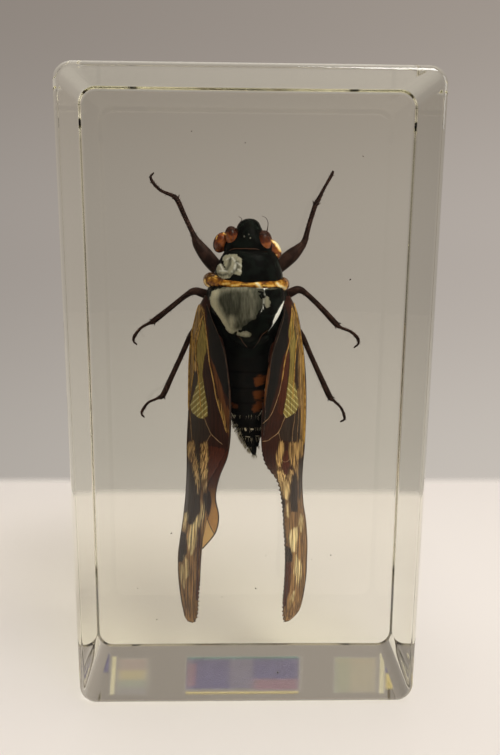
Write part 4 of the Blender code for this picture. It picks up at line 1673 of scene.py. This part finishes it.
@dataclass(frozen=True)
class WingSheet:
    """A wing's sheet between its margins.

    Its ribs are rows of z, front x, front y, inner x and inner y. Its inner margin is torn, by up to tear
    in millimetres below tear_from, in waves that each have a share, a pace and a start.
    """

    ribs: tuple[Point, ...]
    side: Side
    arch: float = 1.0
    full_arch_chord: float = 9.0
    thickness: float = 0.09
    vein_share: float = 0.75
    tear: float = 0.0
    tear_from: float = 40.0
    tear_waves: tuple[Point, ...] = ((0.5, 7.3, 0.0), (0.3, 13.1, 1.0), (0.2, 23.0, 2.0))

    def grid(self, rows: int, columns: int) -> np.ndarray:
        """Points of the sheet, from root to tip and from the front margin to the inner one."""
        ribs = smooth(self.ribs, rows)
        front = np.stack([ribs[:, 1], ribs[:, 2], ribs[:, 0]], axis=-1)
        inner = np.stack([ribs[:, 3], ribs[:, 4], ribs[:, 0]], axis=-1)
        height = ribs[:, 0]
        torn = sum(share * np.sin(pace * height + start) for share, pace, start in self.tear_waves)
        torn *= self.tear * smoothstep(self.tear_from, self.tear_from - 4.0, height)
        chord = inner - front
        breadth = np.linalg.norm(chord, axis=1)
        aside = self.side.value * np.abs(chord[:, 1])
        outwards = np.stack([aside, -np.abs(chord[:, 0]), np.zeros(len(chord))], axis=-1)
        outwards /= np.linalg.norm(outwards, axis=1)[:, None]
        across = np.linspace(0.0, 1.0, columns)
        arch = self.arch * np.minimum(breadth / self.full_arch_chord, 1.0)
        bulge = arch[:, None] * np.sin(math.pi * across)[None, :]
        points = front[:, None, :] + chord[:, None, :] * across[None, :, None]
        points += outwards[:, None, :] * bulge[..., None]
        points[..., 0] += torn[:, None] * across[None, :] ** 10
        return points

    def build(self, name: str, rows: int, columns: int, finish: Material) -> tuple:
        """Makes the closed thin sheet.

        Args:
            name: The piece's name.
            rows: Points from root to tip.
            columns: Points across.
            finish: The piece's material.

        Returns:
            The object, its vertices in millimetres, and how near each vertex is to a margin.
        """
        grid = self.grid(rows, columns)
        piece, vertices = closed_sheet(name, grid, self.thickness, finish)
        to_front = np.linalg.norm(grid - grid[:, :1], axis=-1)
        to_inner = np.linalg.norm(grid - grid[:, -1:], axis=-1)
        to_tip = np.linalg.norm(grid - grid[-1:, :], axis=-1)
        nearness = 1.0 - np.clip(np.minimum(np.minimum(to_front, to_inner), to_tip) / 0.6, 0.0, 1.0)
        return piece, vertices, np.concatenate([nearness.ravel(), nearness.ravel()])

    def lay(self, vein: Vein) -> np.ndarray:
        """Lays a vein on the sheet where the photograph shows it."""
        grid = self.grid(320, 60)
        x, z = SIGHT.slide(grid)
        line = smooth([SIGHT.to_plane(*pixel) for pixel in vein.pixels], len(vein.pixels) * 6)
        rows = []
        for place in line:
            nearest = np.argmin((x - place[0]) ** 2 + (z - place[1]) ** 2)
            rows.append(grid.reshape(-1, 3)[nearest])
        path = eased(np.array(rows))
        lift = np.array([self.side.value * 0.5, -0.85, 0.0]) * (self.thickness / 2 + vein.radius * 0.2)
        radii = np.full(len(path), vein.radius * self.vein_share)
        radii[-3:] *= np.array([0.85, 0.65, 0.4])
        return np.column_stack([path + lift, radii])


@dataclass(frozen=True)
class WingMarks:
    """The marks of a forewing, by colour."""

    olive: tuple[Outline, ...]
    rust: tuple[Outline, ...]
    red: tuple[Outline, ...]
    dark: tuple[Outline, ...]
    black: tuple[Outline, ...]
    cream: tuple[Outline, ...]
    gilt: tuple[Outline, ...]
    gold_veins: tuple[Vein, ...]
    tan_veins: tuple[Vein, ...]
    dark_veins: tuple[Vein, ...]


LEFT_FOREWING = WingSheet(
    (
        (73.0, -7.9, 1.2, -6.6, -1.6), (70.0, -9.4, 3.6, -6.9, -2.6), (66.5, -10.3, 5.8, -5.5, -3.3),
        (62.5, -10.9, 7.4, -4.2, -3.8), (57.0, -11.1, 8.4, -3.5, -3.8), (51.0, -11.2, 8.6, -3.3, -3.3),
        (45.5, -11.5, 8.4, -3.6, -2.5), (42.0, -11.6, 8.0, -5.2, -1.9), (38.0, -11.6, 7.5, -7.2, -1.4),
        (33.0, -11.9, 6.8, -7.8, -0.9), (28.0, -12.6, 6.1, -8.3, -0.4), (22.5, -13.35, 5.2, -8.75, 0.1),
        (18.5, -13.25, 4.6, -8.95, 0.5), (15.5, -12.95, 4.2, -9.2, 0.7), (12.0, -12.45, 3.7, -9.4, 1.0),
        (10.3, -12.1, 3.3, -9.7, 1.3), (9.3, -11.5, 3.0, -10.3, 1.7),
    ),
    Side.LEFT,
    tear=0.26,
    tear_from=20.0,
)
RIGHT_FOREWING = WingSheet(
    (
        (73.0, 7.5, 1.2, 6.2, -1.6), (70.0, 9.0, 3.6, 6.2, -2.6), (66.5, 9.9, 5.8, 5.1, -3.3),
        (62.5, 10.6, 7.4, 4.0, -3.8), (57.0, 11.2, 8.4, 3.1, -3.8), (51.0, 11.4, 8.6, 2.7, -3.3),
        (46.0, 11.3, 8.4, 2.5, -2.5), (42.0, 11.1, 8.0, 3.3, -1.9), (38.5, 10.7, 7.5, 5.6, -1.4),
        (34.0, 10.8, 6.8, 6.55, -0.9), (29.0, 11.6, 6.1, 6.95, -0.4), (24.0, 11.9, 5.3, 7.3, 0.1),
        (18.5, 11.7, 4.6, 7.3, 0.5), (15.0, 11.35, 4.0, 7.1, 0.7), (12.0, 10.7, 3.6, 7.05, 1.0),
        (10.6, 9.9, 3.2, 7.15, 1.3), (9.4, 8.6, 2.8, 7.4, 1.7),
    ),
    Side.RIGHT,
    tear=0.24,
    tear_from=46.0,
)
LEFT_HINDWING = WingSheet(
    (
        (70.5, -7.4, 2.4, -6.3, -0.8), (64.0, -9.4, 5.6, -4.4, -1.8), (56.0, -9.8, 6.6, -3.3, -1.8),
        (49.0, -9.8, 6.6, -3.1, -1.2), (43.5, -9.8, 6.4, -3.6, -0.6), (39.0, -9.8, 6.0, -5.2, 0.0),
        (35.0, -9.8, 5.4, -5.9, 0.6), (31.0, -9.9, 4.8, -5.3, 0.8), (27.8, -9.9, 4.2, -6.0, 1.0),
        (24.6, -9.9, 3.4, -8.4, 1.4),
    ),
    Side.LEFT,
)
RIGHT_HINDWING = WingSheet(
    (
        (70.5, 7.0, 2.4, 5.8, -0.8), (64.0, 9.0, 5.6, 4.0, -1.8), (56.0, 9.6, 6.6, 2.9, -1.8),
        (49.0, 9.8, 6.6, 2.5, -1.2), (44.0, 9.8, 6.4, 2.8, -0.6), (40.5, 9.6, 6.0, 4.6, 0.2),
        (37.0, 9.4, 5.4, 6.4, 1.2),
    ),
    Side.RIGHT,
)

LEFT_MARKS = WingMarks(
    olive=(
        Outline((
            (203, 318), (200, 332), (197, 345), (197, 360), (199, 372), (197, 384), (193, 396),
            (190, 406), (192, 413), (198, 418), (203, 419), (207, 416), (207, 404), (204, 390),
            (202, 374), (204, 358), (207, 348), (206, 335),
        )),
    ),
    rust=(
        Outline((
            (210.5, 356), (214, 362), (217.5, 372), (221.5, 388), (225, 402), (229, 412), (229.5, 425),
            (228, 437), (225.5, 425), (221, 408), (216.5, 390), (213, 372),
        )),
    ),
    red=(
        Outline((
            (209, 446), (222, 448), (227, 455), (222, 475), (216, 494), (212, 500), (207, 490),
            (208, 465),
        )),
        Outline(((197, 520), (200, 530), (199, 560), (199, 600), (196, 600), (196, 560))),
    ),
    dark=(
        Outline((
            (187, 416), (193, 413), (199, 419), (206, 420), (210, 430), (209, 440), (200, 443),
            (187, 438),
        )),
        Outline((
            (186, 462), (192, 465), (196, 480), (200, 497), (200, 512), (193, 525), (188, 524),
            (184, 512), (185, 490),
        )),
        Outline(((195, 441), (199, 444), (200, 470), (201, 488), (199, 497), (197, 478), (195, 460))),
        Outline(((203, 492), (207, 494), (209, 508), (206, 520), (203, 511))),
        Outline(((195, 371), (197, 378), (197, 386), (194, 393), (192, 388), (193, 378))),
        Outline(((181, 530), (186, 534), (187, 552), (182, 562), (178, 562), (179, 545))),
    ),
    black=(
        Outline((
            (206, 303), (212, 315), (222, 335), (227, 355), (229, 380), (229, 402), (224, 392),
            (210, 356),
        )),
        Outline(((197, 306), (200, 306), (199, 320), (195, 335), (194, 350), (192, 345), (193, 328))),
    ),
    cream=(
        Outline(((187, 443), (193, 441), (195, 450), (194, 463), (190, 462), (187, 455))),
        Outline(((193, 452), (197, 462), (199, 480), (198, 494), (195, 480), (192, 465))),
        Outline((
            (201, 445), (206, 441), (208, 450), (207, 470), (206, 485), (203, 492), (201, 480),
            (200, 465),
        )),
        Outline(((202, 499), (204, 506), (204, 515), (199, 527), (197, 526), (200, 512))),
        Outline((
            (190, 526), (195, 520), (199, 514), (198, 528), (195, 545), (191, 555), (188, 545),
            (188, 535),
        )),
        Outline(((184, 514), (187, 512), (187, 528), (185, 532), (183, 525))),
        Outline(((181, 565), (184, 563), (185, 575), (184, 588), (182, 584), (180, 572))),
        Outline(((184, 556), (187, 560), (188, 575), (186, 578), (185, 567))),
        Outline(((193, 364), (196, 360), (198, 370), (194, 372), (192, 380), (192, 372))),
    ),
    gilt=(
        Outline((
            (199, 303), (204, 310), (199, 328), (196, 345), (193, 362), (191, 390), (187, 408),
            (188, 355),
        )),
        Outline(((217, 398), (221, 404), (228, 432), (225, 430))),
    ),
    gold_veins=(
        Vein(((199, 304), (196, 318), (192, 335), (190, 355), (189, 375), (188, 395), (188, 410)), 0.26),
        Vein(((202, 318), (199, 333), (196, 350), (197, 365), (199, 380), (200, 395), (201, 412)), 0.17),
        Vein((
            (204, 312), (206, 330), (208, 350), (210, 365), (213, 380), (216, 398), (221, 415),
            (226, 432),
        ), 0.14),
        Vein(((203, 316), (199, 326), (195, 337), (193, 352), (194, 368), (192, 384), (190, 398)), 0.12),
    ),
    tan_veins=(
        Vein(((190, 398), (190, 412), (191, 425), (192, 440), (194, 455)), 0.1),
        Vein(((203, 414), (207, 425), (211, 434), (216, 439), (222, 444)), 0.09),
        Vein(((211, 434), (208, 439), (206, 444)), 0.07),
    ),
    dark_veins=(
        Vein((
            (207, 304), (212, 318), (219, 335), (225, 352), (228, 375), (229, 400), (229, 425),
            (228, 450),
        ), 0.1),
        Vein((
            (188, 410), (187, 440), (187, 475), (184, 515), (180, 545), (178, 575), (181, 600),
            (186, 615),
        ), 0.14),
        Vein(((190, 460), (190, 485), (188, 515), (185, 550), (183, 585), (188, 612)), 0.08),
        Vein(((194, 468), (195, 490), (193, 515), (190, 555), (188, 590), (190, 615)), 0.08),
        Vein(((198, 480), (199, 505), (197, 530), (194, 565), (193, 595), (192, 615)), 0.08),
        Vein(((203, 495), (203, 512), (199, 535), (197, 570), (196, 600)), 0.1),
    ),
)
RIGHT_MARKS = WingMarks(
    olive=(
        Outline((
            (291, 314), (294, 330), (296, 345), (295, 362), (294, 380), (297, 392), (299, 405),
            (296, 412), (290, 416), (286, 418), (283, 413), (286, 398), (288, 382), (290, 362),
            (289, 345), (288, 330),
        )),
    ),
    rust=(Outline(((268, 362), (271, 378), (267, 392), (264, 408), (263, 395), (265, 378))),),
    red=(
        Outline(((283, 350), (289, 352), (288, 375), (285, 400), (281, 416), (277, 412), (280, 385))),
        Outline(((283, 452), (288, 450), (289, 465), (286, 476), (282, 470))),
        Outline(((284, 558), (291, 560), (290, 585), (286, 605), (282, 612), (281, 595), (283, 575))),
    ),
    dark=(
        Outline((
            (287, 418), (299, 412), (303, 420), (303, 438), (290, 442), (282, 440), (278, 434),
            (283, 424),
        )),
        Outline(((291, 478), (296, 472), (298, 495), (297, 512), (291, 512), (289, 500))),
        Outline(((296, 348), (298, 350), (299, 388), (296, 390))),
        Outline(((304, 455), (304, 480), (300, 500), (298, 490), (300, 465))),
        Outline(((285, 545), (291, 548), (292, 562), (285, 562))),
        Outline(((279, 495), (285, 500), (284, 518), (287, 545), (283, 540), (280, 515))),
    ),
    black=(
        Outline((
            (284, 303), (288, 315), (287, 345), (281, 362), (277, 385), (270, 410), (264, 428),
            (263, 440), (262, 420), (268, 380), (272, 350), (279, 325),
        )),
        Outline(((294, 320), (298, 334), (299, 345), (296, 345), (294, 333))),
    ),
    cream=(
        Outline((
            (280, 441), (284, 443), (284, 450), (281, 458), (281, 468), (284, 475), (288, 478),
            (290, 470), (293, 470), (290, 485), (287, 500), (284, 498), (280, 488), (277, 475),
            (276, 460), (278, 448),
        )),
        Outline((
            (290, 443), (299, 443), (300, 450), (298, 465), (298, 480), (296, 470), (293, 468),
            (290, 465),
        )),
        Outline(((300, 440), (304, 442), (304, 455), (301, 458))),
        Outline(((288, 502), (289, 518), (286, 516), (286, 506))),
        Outline(((300, 514), (303, 516), (303, 528), (301, 532), (299, 524))),
        Outline(((290, 530), (297, 527), (297, 540), (295, 552), (292, 552), (290, 545), (288, 538))),
        Outline(((296, 555), (301, 564), (301, 575), (298, 588), (296, 580), (294, 573), (295, 563))),
        Outline(((293, 592), (295, 591), (293, 600), (289, 609), (290, 600))),
        Outline(((298, 389), (302, 391), (302, 404), (299, 408))),
    ),
    gilt=(
        Outline((
            (291, 305), (297, 318), (301, 335), (304, 355), (305, 380), (305, 440), (301, 440),
            (300, 385), (297, 340),
        )),
    ),
    gold_veins=(
        Vein((
            (293, 303), (297, 320), (300, 335), (303, 355), (304, 375), (305, 395), (305, 420),
            (304, 445),
        ), 0.28),
        Vein(((291, 308), (290, 325), (289, 340), (286, 352), (283, 367), (281, 382)), 0.15),
        Vein(((297, 335), (295, 352), (294, 370), (293, 388), (292, 400)), 0.16),
        Vein(((291, 312), (293, 325), (292, 340)), 0.14),
    ),
    tan_veins=(
        Vein(((281, 382), (278, 394), (273, 408), (268, 418), (262, 423)), 0.09),
        Vein((
            (292, 318), (296, 330), (299, 345), (300, 365), (301, 385), (302, 400), (302, 415),
            (301, 435),
        ), 0.11),
        Vein(((298, 362), (298, 378), (299, 392)), 0.08),
        Vein(((285, 416), (281, 425), (278, 432), (272, 437), (266, 441), (262, 441)), 0.09),
        Vein(((278, 432), (280, 441)), 0.07),
        Vein(((295, 412), (294, 422), (292, 435), (292, 445)), 0.08),
        Vein(((299, 408), (298, 425), (297, 440), (297, 452)), 0.08),
        Vein(((280, 459), (285, 462), (290, 458)), 0.06),
    ),
    dark_veins=(
        Vein((
            (284, 309), (281, 325), (276, 340), (271, 355), (268, 375), (265, 395), (264, 415),
            (263, 435),
        ), 0.09),
        Vein(((304, 445), (303, 470), (303, 500), (306, 530), (307, 555), (305, 585), (299, 607)), 0.14),
        Vein(((300, 470), (300, 500), (302, 530), (303, 560), (300, 595)), 0.08),
        Vein(((296, 470), (297, 500), (298, 530), (297, 560), (293, 600)), 0.08),
        Vein(((291, 480), (290, 510), (288, 540), (287, 575), (286, 612)), 0.08),
        Vein(((284, 500), (283, 520), (285, 550), (284, 580), (282, 605)), 0.12),
    ),
)


class Wings(InsectPart):
    """The two forewings with their veins, and the two hindwings under them."""

    forewing_grid: tuple[int, int] = (330, 56)
    hindwing_grid: tuple[int, int] = (200, 40)
    triangle: Outline = Outline(((206.7, 519), (214.4, 535), (213, 539), (201, 553.5), (200, 548)))
    tongue: Outline = Outline(((206.5, 488), (210.5, 492), (212, 502), (210.5, 512), (208, 520), (205, 510)))
    folds: tuple[Vein, ...] = (
        Vein(((207, 492), (207, 505), (206.8, 517), (210, 526), (214.4, 534.8)), 0.1),
        Vein((
            (214.8, 501), (218.4, 513), (217, 530), (213.6, 538.6), (207, 546.6), (200.8, 553.4),
        ), 0.12),
        Vein(((206.6, 519), (204, 532), (200.6, 548)), 0.06),
    )

    def build(self) -> None:
        """Makes the wings of both sides."""
        for sheet, marks in ((LEFT_FOREWING, LEFT_MARKS), (RIGHT_FOREWING, RIGHT_MARKS)):
            self._forewing(sheet, marks)
        for sheet in (LEFT_HINDWING, RIGHT_HINDWING):
            self._hindwing(sheet)
        self._fold()

    def _forewing(self, sheet: WingSheet, marks: WingMarks) -> None:
        """Makes one forewing and its veins."""
        side = sheet.side.name.lower()
        piece, points, margin = sheet.build(f"forewing_{side}", *self.forewing_grid, self.palette.wing)
        x, z = SIGHT.slide(points)
        slant = np.sin(5.6 * (z + sheet.side.value * x))
        masks = {
            "lower": smoothstep(42.0, 28.0, z),
            # the ribs' painted highlights, strongest low down
            "ribs": (0.5 + 0.5 * slant) * (0.3 + 0.7 * smoothstep(59.0, 55.5, z)),
            "margin": margin * smoothstep(44.0, 36.0, z),
        }
        for name in ("olive", "rust", "red", "dark", "black", "cream", "gilt"):
            masks[name] = all_marks(getattr(marks, name), points, 0.8)
        paint(piece, masks)
        self.keep(piece)
        for tone, veins, finish in (
            ("golden", marks.gold_veins, self.palette.gold_vein),
            ("tan", marks.tan_veins, self.palette.tan_vein),
            ("dark", marks.dark_veins, self.palette.dark_vein),
        ):
            lines = [sheet.lay(vein) for vein in veins]
            self.keep(tubes(f"veins_{tone}_{side}", lines, finish, 10))

    def _hindwing(self, sheet: WingSheet) -> None:
        """Makes one hindwing."""
        side = sheet.side.name.lower()
        piece, points, margin = sheet.build(f"hindwing_{side}", *self.hindwing_grid, self.palette.flap)
        _, z = SIGHT.slide(points)
        margin = np.maximum(margin, 2.0 * self.tongue.field(points, 0.8) - 0.5)
        pale = self.triangle.field(points, 0.4)
        paint(piece, {"thin": smoothstep(37.5, 31.5, z), "margin": margin, "pale": pale})
        self.keep(piece)

    def _fold(self) -> None:
        """Makes the dark folds across the left hindwing's free end."""
        lines = [LEFT_HINDWING.lay(fold) for fold in self.folds]
        self.keep(tubes("hindwing_folds", lines, self.palette.dark_vein, 8))


# The setting


@dataclass(frozen=True)
class Camera:
    """The photograph's viewpoint, in millimetres and degrees."""

    place: Point = (-3.0, -142.5, 82.9)
    pitch: float = 10.12
    yaw: float = 1.41
    roll: float = 0.44
    lens: float = 35.95

    def build(self) -> Piece:
        """Makes the camera and sets it as the scene's."""
        pitch, yaw, roll = (math.radians(angle) for angle in (self.pitch, self.yaw, self.roll))
        level_share = math.cos(pitch)
        forward = Vector((math.sin(yaw) * level_share, math.cos(yaw) * level_share, -math.sin(pitch)))
        level = Vector((math.cos(yaw), -math.sin(yaw), 0.0))
        upright = level.cross(forward)
        right = level * math.cos(roll) + upright * math.sin(roll)
        up = upright * math.cos(roll) - level * math.sin(roll)
        camera = bpy.data.objects.new("camera", bpy.data.cameras.new("camera"))
        camera.data.lens = self.lens
        camera.data.sensor_width = 36.0
        camera.data.clip_start = 0.005
        turn = Matrix((right, up, -forward)).transposed().to_4x4()
        camera.matrix_world = Matrix.Translation(Vector(self.place) * MM) @ turn
        bpy.context.scene.collection.objects.link(camera)
        bpy.context.scene.camera = camera
        return camera


@dataclass(frozen=True)
class Lamp:
    """A square soft lamp that isn't seen itself: its place and size in metres, and its power in watts."""

    name: str
    place: Point
    size: float
    power: float
    colour: Colour = (1.0, 0.982, 0.955)

    def build(self) -> None:
        """Makes the lamp, facing the block."""
        lamp = bpy.data.lights.new(self.name, "AREA")
        lamp.shape = "SQUARE"
        lamp.size = self.size
        lamp.energy = self.power
        lamp.color = self.colour
        holder = bpy.data.objects.new(self.name, lamp)
        holder.location = self.place
        aim = Vector((0.0, 0.0, 0.04)) - Vector(self.place)
        holder.rotation_euler = aim.to_track_quat("-Z", "Y").to_euler()
        holder.visible_camera = False
        holder.visible_transmission = False
        bpy.context.scene.collection.objects.link(holder)


@dataclass(frozen=True)
class Studio:
    """A pale table top, a soft grey-brown surround and soft lamps.

    In reflections alone, the table in front of the block is painted dark and the surround is dimmer: a
    painted shade that keeps reflections off the block's polished faces.
    A soft painted shadow darkens the table behind the block's foot.
    """

    table_edge: float = 0.115
    edge_softness: float = 0.005
    table_length: float = 0.9
    table_width: float = 1.6
    table_roughness: float = 0.6
    table_colour: Colour = from_screen(243, 239, 235)
    wall_colour: Colour = from_screen(168, 160, 153)
    wall_low: Colour = from_screen(187, 180, 172)
    wall_high: Colour = from_screen(150, 141, 133)
    room_behind: float = 0.75
    side_light: float = 0.5
    ceiling_light: float = 1.3
    foot: tuple[float, float] = (0.0285, 0.0164)
    painted_shadow_shift: tuple[float, float] = (-0.016, 0.03)
    painted_shadow_reach: float = 0.05
    painted_shadow_depth: float = 0.12
    reflected_shade_colour: Colour = (0.02, 0.02, 0.02)
    reflected_shade_share: float = 0.1
    reflected_shade_from: tuple[float, float] = (-0.2, -0.11)
    lamps: tuple[Lamp, ...] = (
        Lamp("key_lamp", (0.26, -0.40, 0.72), 0.3, 4.0),
        Lamp("top_lamp", (-0.05, 0.2, 0.5), 0.4, 0.4),
        Lamp("right_lamp", (0.42, -0.10, 0.26), 0.22, 0.4),
    )

    def build(self) -> None:
        """Makes the floor, the surround and the lamps."""
        bpy.context.scene.view_settings.view_transform = "Standard"
        self._floor()
        self._world()
        for lamp in self.lamps:
            lamp.build()

    def _floor(self) -> None:
        """A table top whose far edge is a little out of focus."""
        middle = self.table_edge + self.edge_softness - self.table_length / 2
        bpy.ops.mesh.primitive_plane_add(size=1.0, location=(0.0, middle, -0.0001))
        floor = bpy.context.object
        floor.name = "table_top"
        floor.scale = (self.table_width, self.table_length, 1.0)
        material, graph, shader = new_material("table_paint")
        place = graph.add("ShaderNodeTexCoord").outputs["Object"]
        y = graph.add("ShaderNodeSeparateXYZ", {"Vector": place}).outputs["Y"]
        to_edge = graph.times(graph.minus(0.5, y), self.table_length)
        alpha = graph.ramp(to_edge, 0.0, 2 * self.edge_softness)
        graph.tree.links.new(alpha, shader.inputs["Alpha"])
        noise = graph.add("ShaderNodeTexNoise", {"Vector": place, "Scale": 5.0, "Detail": 1.0})
        soft = tuple(value * 0.93 for value in self.table_colour)
        colour = graph.mix(noise.outputs["Fac"], self.table_colour, soft)
        near, far = ((edge - middle) / self.table_length for edge in self.reflected_shade_from)
        # painted shade: the table in front of the block darkens in reflections alone
        reflected_shade = graph.times(self._mirrored(graph), graph.ramp(y, far, near))
        colour = graph.mix(reflected_shade, colour, self.reflected_shade_colour)
        # painted shadow on the table behind the block's foot
        colour = graph.mix(graph.times(self._painted_shadow(graph), self.painted_shadow_depth), colour, UNLIT)
        graph.feed(shader, Base_Color=colour, Roughness=self.table_roughness)
        floor.data.materials.append(material)

    def _painted_shadow(self, graph: Graph) -> Socket:
        """1 on the block's foot, moved by the painted shadow's shift, and 0 past its reach."""
        offset = graph.add("ShaderNodeNewGeometry").outputs["Position"]
        half_width, half_depth = self.foot
        none = (0.0, 0.0, 0.0)
        for step, values in (
            ("SUBTRACT", (*self.painted_shadow_shift, 0.0)),
            ("ABSOLUTE", none),
            ("SUBTRACT", (half_width, half_depth, 1.0)),
            ("MAXIMUM", none),
        ):
            offset = graph.add("ShaderNodeVectorMath", {0: offset, 1: values}, operation=step).outputs[0]
        distance = graph.add("ShaderNodeVectorMath", {0: offset}, operation="LENGTH").outputs["Value"]
        return graph.minus(1.0, graph.ramp(distance, 0.0, self.painted_shadow_reach))

    @staticmethod
    def _mirrored(graph: Graph) -> Socket:
        """1 for what is seen in a reflection, and 0 for what is seen straight or through the resin."""
        rays = graph.add("ShaderNodeLightPath").outputs
        straight = graph.minus(1.0, rays["Is Transmission Ray"])
        return graph.times(rays["Is Glossy Ray"], straight)

    def _world(self) -> None:
        """A plain surround, a little lighter low down and to the right."""
        world = bpy.data.worlds.new("surround")
        world.use_nodes = True
        world.node_tree.nodes.clear()
        graph = Graph(world.node_tree)
        direction = graph.add("ShaderNodeTexCoord").outputs["Generated"]
        parts = graph.add("ShaderNodeSeparateXYZ", {"Vector": direction}).outputs
        colour = graph.mix(graph.ramp(parts["Z"], -0.32, 0.0), self.wall_low, self.wall_colour)
        colour = graph.mix(graph.ramp(parts["Z"], 0.0, 0.3), colour, self.wall_high)
        aside = graph.add("ShaderNodeMapRange", {"Value": parts["X"], "From Min": -0.5, "From Max": 0.5})
        aside.inputs["To Min"].default_value = 0.80
        aside.inputs["To Max"].default_value = 1.20
        behind = graph.add("ShaderNodeMapRange", {"Value": parts["Y"], "From Min": -0.5, "From Max": 0.5})
        cut = graph.times(self._mirrored(graph), self.room_behind - self.reflected_shade_share)
        graph.tree.links.new(graph.minus(self.room_behind, cut), behind.inputs["To Min"])
        behind.inputs["To Max"].default_value = 1.0
        strength = graph.times(aside.outputs[0], behind.outputs[0])
        to_side = graph.ramp(graph.math("ABSOLUTE", parts["X"]), 0.72, 0.95)
        overhead = graph.ramp(parts["Z"], 0.6, 0.95)
        for place, more in ((to_side, self.side_light), (overhead, self.ceiling_light)):
            gain = graph.plus(1.0, graph.times(place, more))
            strength = graph.times(strength, gain)
        light = graph.add("ShaderNodeBackground", {"Color": colour, "Strength": strength})
        graph.add("ShaderNodeOutputWorld", {"Surface": light.outputs[0]})
        bpy.context.scene.world = world


def main() -> None:
    """Builds the camera and the setting, then the block, the dust specks and the sheet of painted sheen,
    then the insect.
    """
    logging.basicConfig(level=logging.INFO, format="%(name)s: %(message)s")
    Camera().build()
    Studio().build()
    palette = Palette(Effects())
    block = ResinBlock().build(palette)
    LOG.info("%s: %d faces", block.name, len(block.data.polygons))
    for piece in (Inclusions().build(palette), BaseFilm().build(palette)):
        LOG.info("%s: %d faces", piece.name, len(piece.data.polygons))
    for part in (Head(palette), Thorax(palette), Abdomen(palette), Legs(palette), Wings(palette)):
        part.build()


if __name__ == "__main__":
    main()
